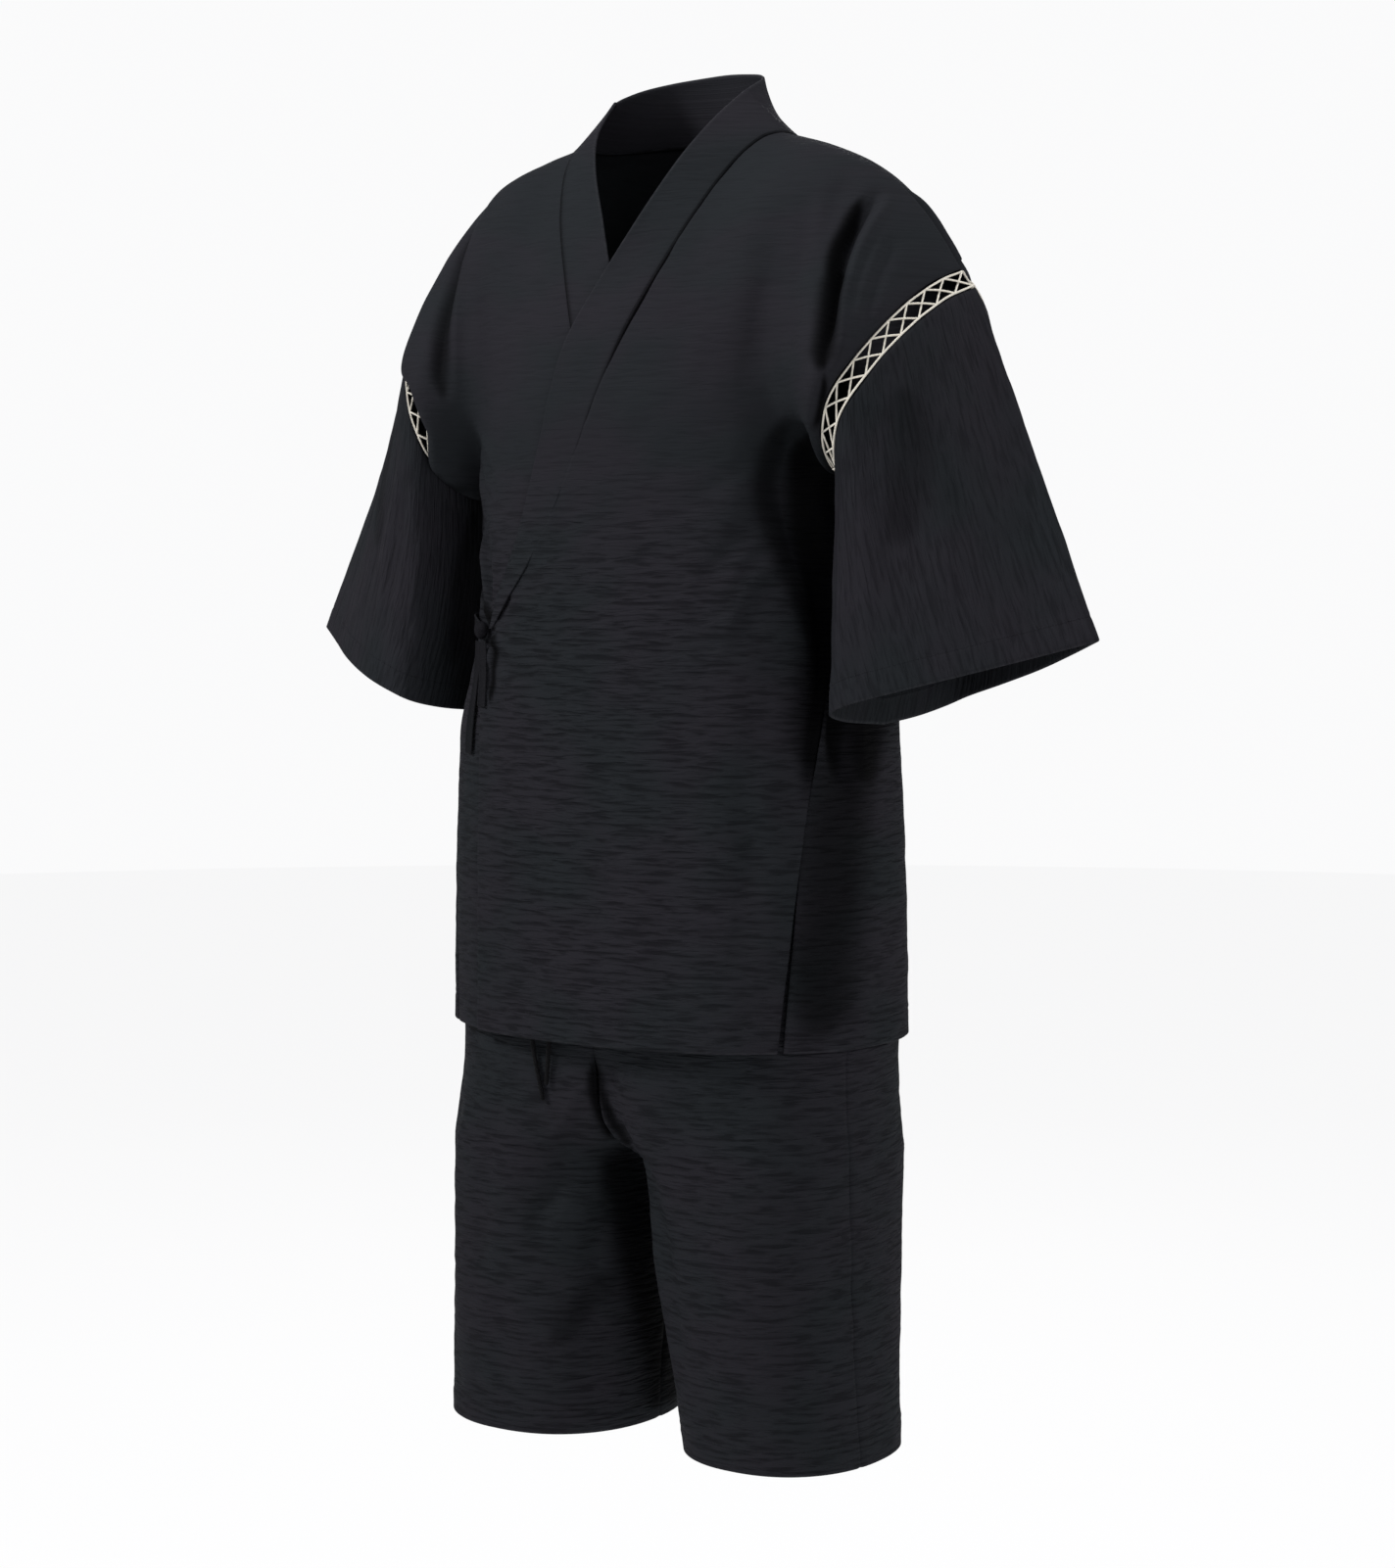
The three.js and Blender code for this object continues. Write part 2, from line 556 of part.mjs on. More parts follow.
function collarBand() {
  const half = (side) => [
    ...COLLAR_LEVELS.map((level) => collarRow(side, level)),
    ...NAPE_X.map((x) => napeRow(side, x)),
  ];
  const rightHalf = half("right").reverse();
  const stations = [...half("left"), napeRow("left", 0.001), ...rightHalf];
  const columns = [0, 0.3, 0.65, 1];
  const rows = stations.map(({ seam, free, lying, standing }) => {
    const run = free.clone().sub(seam.point).normalize();
    const start = seam.point.clone().addScaledVector(run, mix(SEAM / 2, COLLAR_CLEARANCE, standing));
    const spot = (t) => (t && lying ? lying(t) : start.clone().lerp(free, t));
    return columns.map((t) => station(spot(t), seam.normal.clone()));
  });
  rows.forEach((row, j) => {
    const before = rows[Math.max(0, j - 1)];
    const after = rows[Math.min(rows.length - 1, j + 1)];
    row.forEach((spot, i) => {
      const along = after[i].point.clone().sub(before[i].point);
      const across = row[3].point.clone().sub(row[0].point);
      const face = along.cross(across).normalize();
      const outward = new THREE.Vector3(spot.point.x, spot.point.y, 0);
      if (face.dot(outward) < 0) face.negate();
      spot.normal = i === 0 ? spot.normal.add(face).normalize() : face;
    });
  });
  const leftRows = COLLAR_LEVELS.length;
  rows.slice(0, leftRows).forEach((row) => {
    const lift = wrapLift(row[0].point);
    row.forEach((spot) => spot.point.addScaledVector(spot.normal, lift));
  });
  return wall(rows, BAND);
}
addPiece(shirt, "collar", collarBand());

// Sleeves
function sleeveForm(side, round, t) {
  const turn = (round + 360) % 360;
  const at = 90 - (turn <= 180 ? turn : 360 - turn) / 2;
  const face = loopFace(turn);
  const cuff = new THREE.Vector3(side * column(CUFF, "x", at), column(CUFF, face, at), column(CUFF, "z", at));
  const point = laceEdge(side, turn, 1).lerp(carried(cuff), t);
  const mirrored = new THREE.Vector3(side * point.x, point.y, point.z);
  const axis = new THREE.Vector3(mix(200, 250, t), 0, mirrored.z);
  const inward = axis.sub(mirrored).normalize();
  mirrored.addScaledVector(inward, foldDepth(SLEEVE_FOLDS, mirrored));
  return new THREE.Vector3(side * mirrored.x, mirrored.y, mirrored.z);
}

function sleeve(side) {
  const around = 28;
  const down = 6;
  const rows = spread(down, 0, 1).map((t) =>
    spread(around, 0, 360).slice(0, around).map((round) => {
      const point = sleeveForm(side, round, t);
      const centre = sleeveForm(side, 90, t).add(sleeveForm(side, 270, t)).multiplyScalar(0.5);
      const outward = point.clone().sub(centre);
      const normal = normalOf((u, v) => sleeveForm(side, u, v), round, t, 3, 0.02, outward);
      return station(point, t ? normal : laceNormal(side, round));
    }),
  );
  insetGrid(rows, { top: SEAM / 2 });
  return wall(rows, CLOTH, true);
}

// The lace laid flat: two edge cords with crossings between them, and open diamonds and triangles.
// Rise and run are half the height and half the width of the diamond where two cords cross.
function flatLace(length) {
  const pitch = length / LACE_PITCHES;
  const half = LACE_WIDTH / 2;
  const rim = half - LACE_BAR;
  const slope = (2 * rim) / pitch;
  const rise = (LACE_BAR / 2) * Math.hypot(1, slope);
  const run = rise / slope;
  const points = [];
  const known = new Map();
  const faces = [];
  const pointId = ([x, y]) => {
    const key = `${x.toFixed(4)} ${y.toFixed(4)}`;
    if (!known.has(key)) known.set(key, points.push({ x, y }) - 1);
    return known.get(key);
  };
  const area = ([a, b, c]) => {
    const [p, q, r] = [points[a], points[b], points[c]];
    return (q.x - p.x) * (r.y - p.y) - (r.x - p.x) * (q.y - p.y);
  };
  const face = (...corners) => {
    const ids = corners.map(pointId);
    for (let i = 1; i < ids.length - 1; i += 1) {
      const triangle = [ids[0], ids[i], ids[i + 1]];
      faces.push(area(triangle) > 0 ? triangle : triangle.reverse());
    }
  };
  for (let k = 0; k < LACE_PITCHES; k += 1) {
    const [start, middle, end] = [k * pitch, (k + 0.5) * pitch, (k + 1) * pitch];
    face([middle - run, 0], [middle, -rise], [middle + run, 0], [middle, rise]);
    for (const up of [1, -1]) {
      face([start + run, up * rim], [end - run, up * rim], [end - run, up * half], [start + run, up * half]);
      for (const [knot, inward] of [[start, 1], [end, -1]]) {
        const atEnd = knot < pitch / 2 || knot > length - pitch / 2;
        const inset = atEnd ? LACE_BAR / 2 : 0;
        const rootY = up * (rim - rise - slope * inset);
        const root = [knot + inward * inset, rootY];
        const corner = [knot + inward * run, up * rim];
        face(root, corner, [middle, up * rise], [middle - inward * run, 0]);
        const border = [corner, [knot + inward * run, up * half], [knot, up * half]];
        face(...(atEnd ? [[knot, rootY], root] : [root]), ...border);
        if (atEnd && up > 0) face([knot, rootY], root, [root[0], -rootY], [knot, -rootY]);
      }
    }
  }
  return { points, faces };
}

// A closed solid from a flat mesh: its two layers, and a side on each edge that only one face has
function slab({ points, faces }, place) {
  const positions = [1, -1].flatMap((layer) => points.flatMap((point) => place(point, layer).toArray()));
  const count = points.length;
  const edges = faces.flatMap(([a, b, c]) => [[a, b], [b, c], [c, a]]);
  const used = new Set(edges.map(([a, b]) => `${a} ${b}`));
  const index = faces.flatMap(([a, b, c]) => [a, b, c, c + count, b + count, a + count]);
  for (const [a, b] of edges) {
    if (!used.has(`${b} ${a}`)) index.push(a, b + count, b, a, a + count, b + count);
  }
  return facingOut(positions, index);
}

function lace(side, face) {
  const [from, to] = face === "front" ? [0.4, 179.6] : [359.6, 180.4];
  const steps = 240;
  const distances = [0];
  const rounds = spread(steps, from, to);
  rounds.slice(1).forEach((round, i) => {
    const step = laceEdge(side, round, 0.5).distanceTo(laceEdge(side, rounds[i], 0.5));
    distances.push(distances[i] + step);
  });
  const length = distances[steps];
  const roundAt = (distance) => {
    let i = 0;
    while (i < steps - 1 && distances[i + 1] < distance) i += 1;
    return mix(rounds[i], rounds[i + 1], (distance - distances[i]) / (distances[i + 1] - distances[i]));
  };
  return slab(flatLace(length), ({ x, y }, layer) => {
    const round = roundAt(x);
    const share = (y + LACE_WIDTH / 2 + LACE_GAP) / (LACE_WIDTH + 2 * LACE_GAP);
    return laceEdge(side, round, share).addScaledVector(laceNormal(side, round), (layer * LACE_WALL) / 2);
  });
}

for (const [side, sign] of [["left", 1], ["right", -1]]) {
  addPiece(shirt, `sleeve_${side}`, sleeve(sign));
  addPiece(shirt, `lace_${side}_front`, lace(sign, "front"), cream);
  addPiece(shirt, `lace_${side}_back`, lace(sign, "back"), cream);
}

// The shorts. An angle of 0 is the outer side of a leg, and it is positive over the front.
const SHORTS_SEAM_ANGLE = 16;
const legTable = (side) => (side > 0 ? LEG_LEFT : LEG_RIGHT);

function legEnd(side, z) {
  const share = Math.min(1, column(legTable(side), "centre", z) / column(legTable(side), "half", z));
  const level = z <= CROTCH_Z ? 1 : share;
  return 180 - (Math.acos(power(Math.max(0, level), SECTION / 2)) * 180) / Math.PI;
}

function legForm(side, angle, z) {
  const table = legTable(side);
  const bend = radians(angle);
  const x = column(table, "centre", z) + column(table, "half", z) * power(Math.cos(bend), 2 / SECTION);
  const depth = angle >= 0 ? -column(table, "front", z) : column(table, "back", z);
  return new THREE.Vector3(side * x, depth * power(Math.abs(Math.sin(bend)), 2 / SECTION), z);
}

function leg(side, angle, z) {
  const point = legForm(side, angle, z);
  const axis = new THREE.Vector3(side * column(legTable(side), "centre", z), 0, z);
  const inward = axis.sub(point).normalize();
  return point.addScaledVector(inward, foldDepth(SHORTS_FOLDS, point));
}

const SHORTS_LEVELS = [
  -470, -525, -580, -625, -660, -690, -714, -733, -745, -752, -784, -828, -876, -924, -972,
];

function shortsPanel(side, face) {
  const across = 10;
  const sign = side === "left" ? 1 : -1;
  const rows = SHORTS_LEVELS.map((z) => {
    const end = legEnd(sign, z);
    const from = SHORTS_SEAM_ANGLE;
    const to = face === "front" ? end : -end;
    const centre = new THREE.Vector3(sign * column(legTable(sign), "centre", z), 0, z);
    return spread(across, from, to).map((angle) => {
      const point = leg(sign, angle, z);
      const surface = (u, v) => leg(sign, u, v);
      const near = Math.abs(angle) > 178 ? Math.sign(angle) * 178 : angle;
      return station(point, normalOf(surface, near, z, 1.5, 2, point.clone().sub(centre)));
    });
  });
  insetGrid(rows, { first: SEAM / 2, last: SEAM / 2, top: SEAM / 2 });
  return wall(rows, CLOTH, false, sign);
}

for (const side of ["left", "right"]) {
  addPiece(shorts, `shorts_front_${side}`, shortsPanel(side, "front"));
  addPiece(shorts, `shorts_back_${side}`, shortsPanel(side, "back"));
}

function waistband() {
  const around = 36;
  const rows = [WAIST_TOP_Z, WAIST_TOP_Z - WAISTBAND_HEIGHT].map((z) =>
    spread(around, 0, 360).slice(0, around).map((round) => {
      const side = round < 90 || round >= 270 ? 1 : -1;
      const angle = side > 0 ? (round < 90 ? round : round - 360) : 180 - round;
      const point = legForm(side, angle, WAIST_TOP_Z - WAISTBAND_HEIGHT);
      point.z = z;
      return station(point, new THREE.Vector3(point.x, point.y * 1.6, 0).normalize());
    }),
  );
  insetGrid(rows, { bottom: SEAM / 2 });
  return wall(rows, BAND, true);
}
addPiece(shorts, "waistband", waistband());

// Drawstring ends and the side tie
function drawstring(points) {
  const path = new THREE.CatmullRomCurve3(points.map((p) => new THREE.Vector3(...p)), false, "centripetal");
  const section = new THREE.Shape(
    spread(8, 0, 360).slice(0, 8).map((angle) => {
      const reach = DRAWSTRING_DIAMETER / 2;
      return new THREE.Vector2(reach * Math.cos(radians(angle)), reach * Math.sin(radians(angle)));
    }),
  );
  return new THREE.ExtrudeGeometry(section, { steps: 30, extrudePath: path, bevelEnabled: false });
}
addPiece(shorts, "drawstring_left", drawstring(DRAWSTRING.left), cordBlack);
addPiece(shorts, "drawstring_right", drawstring(DRAWSTRING.right), cordBlack);

const onBody = ({ x, z, out }) => {
  const level = levelOf(z);
  const turn = turnAt(x, level);
  const normal = bodyNormal(turn, level);
  return station(body(turn, level).addScaledVector(normal, out), normal);
};

function tieStrap(stations) {
  const spots = stations.map(onBody);
  const rows = spots.map((spot, j) => {
    const before = spots[Math.max(0, j - 1)].point;
    const after = spots[Math.min(spots.length - 1, j + 1)].point;
    const across = after.clone().sub(before).cross(spot.normal).normalize();
    const edge = (share) => spot.point.clone().addScaledVector(across, share * TIE_WIDTH);
    return [edge(-0.5), edge(0.5)].map((point) => station(point, spot.normal));
  });
  return wall(rows, TIE_WALL);
}
Object.entries(TIE_STRAPS).forEach(([name, stations]) => addPiece(shirt, name, tieStrap(stations)));

function tieKnot() {
  const { point } = onBody(TIE_KNOT);
  const geometry = new THREE.SphereGeometry(1, 12, 8);
  geometry.scale(...TIE_KNOT.radii);
  geometry.rotateZ(radians(-40));
  geometry.translate(point.x, point.y, point.z);
  return geometry;
}
addPiece(shirt, "tie_knot", tieKnot());

export default garment;
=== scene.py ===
import math

import bpy
import numpy as np
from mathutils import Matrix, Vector


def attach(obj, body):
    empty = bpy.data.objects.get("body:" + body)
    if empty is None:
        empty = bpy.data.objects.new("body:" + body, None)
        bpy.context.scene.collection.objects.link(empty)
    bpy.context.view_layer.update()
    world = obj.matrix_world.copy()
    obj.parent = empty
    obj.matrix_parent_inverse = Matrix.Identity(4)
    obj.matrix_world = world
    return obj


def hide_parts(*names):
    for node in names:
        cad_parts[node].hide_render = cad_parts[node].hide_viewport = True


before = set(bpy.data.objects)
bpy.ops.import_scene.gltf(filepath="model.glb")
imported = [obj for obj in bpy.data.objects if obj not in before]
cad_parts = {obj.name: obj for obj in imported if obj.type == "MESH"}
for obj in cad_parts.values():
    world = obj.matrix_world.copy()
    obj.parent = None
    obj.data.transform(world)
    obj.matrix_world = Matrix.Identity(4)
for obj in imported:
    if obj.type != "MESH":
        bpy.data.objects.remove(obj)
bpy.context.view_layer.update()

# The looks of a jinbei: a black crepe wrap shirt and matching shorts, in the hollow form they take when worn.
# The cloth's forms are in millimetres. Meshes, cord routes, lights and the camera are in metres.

MM = 0.001

# Driving sizes in millimetres
HEM_Z = -662
CHEST_Z = -215
UNDERARM_DROP = 41
SECTION = 2.25
WRAP_LIFT = 3.4
VENT_Z = -509
VENT_TURN = 1.1
NECK_HALF = 91
NAPE_ROLL = 24          # how far the neckline drops behind the shoulders' crest, in degrees
COLLAR_RISES = 34       # the roll at which the collar leaves the chest
COLLAR_END_Z = -362
RIGHT_SHOULDER_IN = 19
LACE_WIDTH = 16
LACE_GAP = 1.15
LACE_PITCHES = 14
LACE_CORD = 0.78        # radius of the lace's edge cords
LACE_COVER = 17         # how far the right front reaches over the lace, where it bulges
LACE_CLEAR = 3.2        # how far it stands out from the lace there
WAIST_TOP_Z = -436
WAISTBAND_HEIGHT = 34
CROTCH_Z = -752
SHORTS_HEM_Z = -972
CLOTH = 1.2             # wall of a single cloth
BAND = 2.0              # wall of the folded collar and the waistband
RIM = 0.8               # how far a wall's rounded rim stands out, as a share of half the wall
HEM_DEPTH = 20          # from a hem's edge to the inner edge of its doubled band
HEM_WALL = 0.9          # how much thicker the doubled band is
HEM_WAVE = 0.35         # height of the slow waves in the doubled band
HEM_STITCH = 18         # from a hem's edge to its line of stitches
STITCH_SINK = 0.5       # how deep the stitches pull the cloth in
STITCH_HALF = 1.1       # half the width of that hollow
SEAM_GROOVE = 0.7       # depth of the groove at a seam
SEAM_HALF = 1.5         # half the width of that groove
BORDER_CALM = 9         # over this distance from a border the creases grow to their full height
FAR = 99.0              # the distance to stitches or an edge where a piece has none
SNAP = 24               # how far a crease's points may lie from the cloth that it is on
SLEEVE_DIRECTION = np.array([0.66, 0, -0.75]) / math.hypot(0.66, 0.75)


def table(names, *rows):
    """A short table as named columns."""
    return {name: np.array([row[k] for row in rows], float) for k, name in enumerate(names.split())}


BODY = table(
    "at half front back",
    (-672, 183, 128, 122),
    (-560, 182, 127, 118),
    (-430, 176, 126, 112),
    (-320, 168, 125, 110),
    (-215, 164, 125, 109),
)
SHOULDER = table(
    "at z",
    (0, 20), (50, 13), (91, 0), (129, -11), (166, -27), (200, -53), (222, -79), (240, -106),
)
ARMHOLE = table(
    "at x front back z",
    (0, 164, 0, 0, -256),
    (8, 168, -52, 50, -247),
    (16, 175, -82, 79, -227),
    (28, 187, -94, 90, -198),
    (42, 203, -83, 80, -169),
    (58, 218, -62, 62, -142),
    (74, 231, -29, 32, -118),
    (90, 240, 0, 0, -106),
)
CUFF = table(
    "at x front back z",
    (0, 181, -4, -4, -429),
    (8, 182, -56, 44, -425),
    (16, 188, -90, 74, -419),
    (28, 206, -100, 78, -411),
    (42, 241, -90, 64, -401),
    (58, 283, -67, 42, -389),
    (74, 322, -38, 14, -377),
    (90, 356, -12, -12, -366),
)
NECKLINE = table(
    "at left right",
    (0, 4, 14), (12, 16, 1), (20, 27, -13), (34, 48, -35),
    (50, 66, -60), (64, 76, -76), (78, 85, -86), (90, 91, -91),
)
FRONT_EDGE = table(
    "at left right leftFree rightFree",
    (-672, -104, 104, -107, 107),
    (-430, -103, 103, -106, 106),
    (-372, -99, 99, -103, 103),
    (-340, -71, 74, -87, 89),
    (-299, -38, 46, -63, 71),
    (-255, -14, 27, -47, 58),
    (-215, 4, 14, -34, 48),
)
COLLAR_ON_CHEST = table("at left right", (0, -34, 48), (12, -28, 40), (20, -21, 31), (28, -9, 18), (34, 2, 7))
COLLAR_LEFT = table(
    "at x y z",
    (34, 2, -97, -107), (50, 29, -84, -58), (64, 45, -60, -18), (78, 53, -28, 12),
    (90, 57, -1, 31), (104, 52, 34, 46), (118, 30, 58, 54), (130, 0, 66, 57),
)
COLLAR_RIGHT = table(
    "at x y z",
    (34, 7, -97, -107), (50, -16, -77, -58), (64, -40, -51, -20), (78, -55, -25, 9),
    (90, -58, -1, 31), (104, -52, 34, 46), (118, -30, 58, 54), (130, 0, 66, 57),
)
SIDE_SEAM = table("at angle", (-672, 50), (-600, 53), (-509, 58), (-430, 66), (-330, 78), (-215, 90))
HIPS = (
    (-752, 88, 88, 112, 102),
    (-740, 75, 101, 113, 104),
    (-715, 53, 122, 114, 107),
    (-680, 29, 146, 114, 110),
    (-640, 11, 167, 114, 111),
    (-580, 0, 179.4, 113, 109),
    (-470, 0, 164, 111, 102),
)
LEGS = {
    1: table(
        "at centre half front back",
        (-972, 105, 76, 88, 76),
        (-900, 99, 79, 98, 84),
        (-830, 93, 84, 107, 93),
        *HIPS,
    ),
    -1: table(
        "at centre half front back",
        (-972, 103, 84, 94, 84),
        (-900, 98, 84, 102, 88),
        (-830, 93, 86, 108, 95),
        *HIPS,
    ),
}
SIDES = {1: "left", -1: "right"}     # the garment's own sides, by the sign of x

# The largest folds, as soft troughs from one point to another: start, end, width and depth
SHIRT_FOLDS = (
    ((168, -30, -36), (172, -96, -196), 11, 17),
    ((-166, -32, -40), (-176, -96, -190), 12, 13),
    ((166, 34, -44), (170, 92, -200), 13, 12),
    ((-166, 34, -44), (-170, 92, -200), 13, 12),
    ((150, -86, -205), (128, -110, -330), 16, 8),
    ((-150, -86, -215), (-104, -108, -350), 13, 7),
    ((-165, -60, -255), (-110, -104, -356), 12, 8),
    ((150, 80, -230), (120, 100, -380), 17, 7),
    ((-150, 80, -230), (-118, 100, -370), 17, 7),
    ((60, 106, -400), (-90, 112, -470), 20, 4),
)
SLEEVE_FOLDS = (
    ((214, -86, -190), (262, -78, -330), 12, 5),
    ((186, -98, -236), (204, -100, -350), 10, 4),
    ((214, 80, -190), (250, 62, -320), 13, 5),
)
SHORTS_FOLDS = (
    ((4, -116, -668), (26, -96, -752), 12, 9),
    ((30, -104, -770), (70, -100, -930), 16, 5),
    ((-14, -112, -735), (-78, -110, -820), 15, 6),
    ((-8, 102, -730), (-70, 98, -800), 15, 7),
    ((8, 102, -730), (70, 98, -800), 15, 7),
)

# The creases, each a trough along a bent line of points on the cloth: points, width, depth and lean.
# Lean is the height of the roll beside the trough, as a share of its depth. Seen from outside and along
# the line, the roll is on the left where lean is positive and on the right where it is negative.
SHIRT_CREASES = (
    # left front, the deep fold from the shoulder to the armhole
    (((186, -16, -48), (186, -44, -72), (184, -64, -98), (186, -82, -130), (190, -96, -160),
      (187, -98, -200)), 6, 13, 0.3),
    (((204, -30, -80), (200, -58, -126), (198, -84, -172)), 5, 2, -0.4),
    (((150, -60, -40), (158, -88, -110), (152, -104, -190)), 7, 1.4, 0.4),
    (((120, -96, -120), (140, -104, -190), (140, -108, -262)), 9, 1.2, 0.4),
    # left side, the hollow under the sleeve and the long fold down from it
    (((176, -70, -196), (156, -70, -228), (146, -74, -262), (152, -66, -300), (160, -54, -345)), 15, 13, 0.2),
    (((154, -62, -290), (162, -52, -345), (166, -46, -400), (172, -44, -450), (176, -50, -512)), 12, 12, 0.2),
    # right front, the fold from the shoulder and the hollow beside the sleeve
    (((-158, -42, -52), (-158, -62, -84), (-156, -90, -126), (-148, -102, -163),
      (-144, -100, -200)), 7, 7.5, 0.3),
    # left front, gathers that run from the underarm
    (((150, -70, -262), (122, -112, -300), (96, -118, -345)), 8, 1.9, 0.5),
    (((156, -62, -300), (136, -98, -340), (112, -112, -392)), 7, 1.8, -0.5),
    (((146, -100, -226), (116, -112, -252), (70, -122, -282)), 8, 1.2, 0.4),
    # right front, gathers that run from the underarm to the tie
    (((-150, -94, -214), (-124, -108, -236), (-96, -118, -252)), 6, 1.9, 0.5),
    (((-152, -90, -244), (-126, -104, -262), (-90, -118, -272)), 5, 2.0, -0.5),
    (((-150, -88, -262), (-122, -104, -300), (-104, -112, -352)), 6, 2.4, 0.5),
    (((-158, -60, -290), (-140, -80, -322), (-120, -98, -352), (-104, -110, -368)), 6.5, 10, 0.5),
    (((-110, -106, -362), (-114, -104, -390), (-120, -102, -424)), 4.5, 7, 0.4),
    (((-154, -84, -378), (-134, -98, -372), (-112, -108, -366)), 5, 1.8, -0.4),
    # left front, drag lines towards the tie
    (((-100, -112, -372), (-60, -122, -392), (0, -127, -420)), 7, 1.7, 0.5),
    (((-100, -112, -384), (-70, -120, -424), (-30, -126, -480)), 7, 1.4, -0.4),
    (((-98, -114, -356), (-56, -122, -352), (10, -127, -366)), 8, 1.3, 0.4),
    (((-96, -114, -346), (-60, -122, -318), (-14, -126, -296)), 7, 1.2, 0.4),
    # the skirt of the shirt
    (((120, -108, -430), (128, -104, -520), (116, -110, -640)), 12, 1.8, 0.4),
    (((60, -122, -500), (72, -120, -570), (66, -122, -655)), 13, 1.4, -0.4),
    (((-40, -125, -480), (-34, -126, -570), (-46, -125, -655)), 12, 1.3, 0.3),
    (((10, -127, -440), (22, -127, -540), (14, -127, -640)), 15, 1.1, 0.3),
    # the back, across the shoulder blades and down from them
    (((120, 84, -150), (60, 104, -190), (0, 110, -206)), 12, 1.5, 0.4),
    (((-124, 82, -160), (-66, 103, -196), (-8, 110, -222)), 12, 1.3, -0.4),
    (((146, 84, -240), (112, 100, -310), (86, 108, -420)), 9, 2.4, 0.5),
    (((-146, 84, -240), (-116, 99, -300), (-96, 106, -400)), 9, 2.2, -0.5),
    (((158, 60, -262), (140, 88, -340), (132, 96, -450)), 7, 1.9, 0.4),
    (((-158, 60, -262), (-142, 86, -330), (-128, 98, -460)), 7, 2.0, -0.4),
    (((40, 112, -330), (-20, 114, -380), (-90, 108, -400)), 12, 1.4, 0.4),
    (((100, 110, -470), (40, 118, -500), (-30, 118, -490)), 13, 1.3, 0.3),
    (((60, 116, -500), (66, 117, -580), (56, 119, -655)), 13, 1.5, 0.4),
    (((-70, 114, -490), (-62, 117, -580), (-72, 117, -655)), 13, 1.4, -0.4),
    (((130, 100, -480), (134, 100, -570), (124, 104, -650)), 11, 1.6, 0.3),
    (((-134, 98, -470), (-130, 101, -560), (-136, 99, -650)), 11, 1.5, 0.3),
)
SLEEVE_CREASES = (
    (((232, -70, -150), (262, -62, -240), (300, -44, -340)), 9, 1.8, 0.4),
    (((206, -96, -200), (232, -96, -280), (262, -80, -390)), 8, 2.0, -0.4),
    (((192, -98, -240), (204, -104, -320), (216, -98, -404)), 7, 1.8, 0.5),
    (((180, -84, -262), (188, -92, -330), (190, -90, -410)), 6, 1.7, -0.4),
    (((254, -20, -140), (296, -20, -240), (336, -24, -350)), 11, 1.4, 0.4),
    (((176, -50, -280), (182, -56, -340), (184, -58, -415)), 6, 1.5, 0.4),
    (((232, 66, -150), (262, 54, -250), (290, 36, -350)), 10, 1.8, 0.4),
    (((200, 88, -200), (224, 80, -290), (240, 62, -380)), 9, 1.9, -0.4),
    (((184, 78, -240), (192, 78, -320), (196, 74, -404)), 7, 1.6, 0.4),
    (((252, 26, -150), (296, 14, -250), (326, 8, -340)), 11, 1.2, -0.3),
)
SHORTS_CREASES = (
    (((2, -112, -690), (10, -106, -722), (24, -98, -750)), 6, 3.2, 0.6),
    (((-4, -112, -704), (-18, -110, -732), (-44, -108, -762)), 7, 1.6, -0.6),
    (((20, -106, -748), (44, -108, -790), (60, -106, -860)), 9, 2.2, 0.5),
    (((-16, -106, -748), (-48, -112, -790), (-70, -110, -850)), 9, 2.2, -0.5),
    (((60, -110, -700), (96, -112, -770), (110, -106, -880)), 12, 1.6, 0.4),
    (((-70, -112, -700), (-104, -112, -780), (-112, -104, -890)), 12, 1.7, 0.4),
    (((136, -84, -700), (150, -76, -800), (146, -70, -930)), 11, 1.7, -0.4),
    (((-134, -86, -700), (-152, -78, -800), (-150, -74, -940)), 11, 1.8, 0.4),
    (((12, -70, -770), (16, -80, -840), (30, -78, -950)), 9, 2.0, 0.4),
    (((-12, -70, -770), (-14, -82, -840), (-28, -84, -950)), 9, 2.0, -0.4),
    (((90, -108, -860), (84, -102, -910), (92, -92, -968)), 11, 1.4, 0.4),
    (((-88, -106, -840), (-96, -104, -900), (-88, -96, -968)), 11, 1.5, -0.4),
    (((10, 98, -716), (36, 100, -752), (70, 98, -800)), 8, 2.4, 0.5),
    (((-10, 98, -716), (-36, 100, -752), (-76, 98, -806)), 8, 2.4, -0.5),
    (((70, 104, -690), (104, 96, -780), (108, 86, -900)), 12, 1.6, 0.4),
    (((-70, 104, -690), (-104, 96, -790), (-106, 88, -910)), 12, 1.6, -0.4),
    (((140, 70, -690), (150, 62, -800), (146, 54, -930)), 11, 1.6, 0.4),
    (((-140, 70, -690), (-152, 64, -800), (-150, 56, -930)), 11, 1.5, -0.4),
)

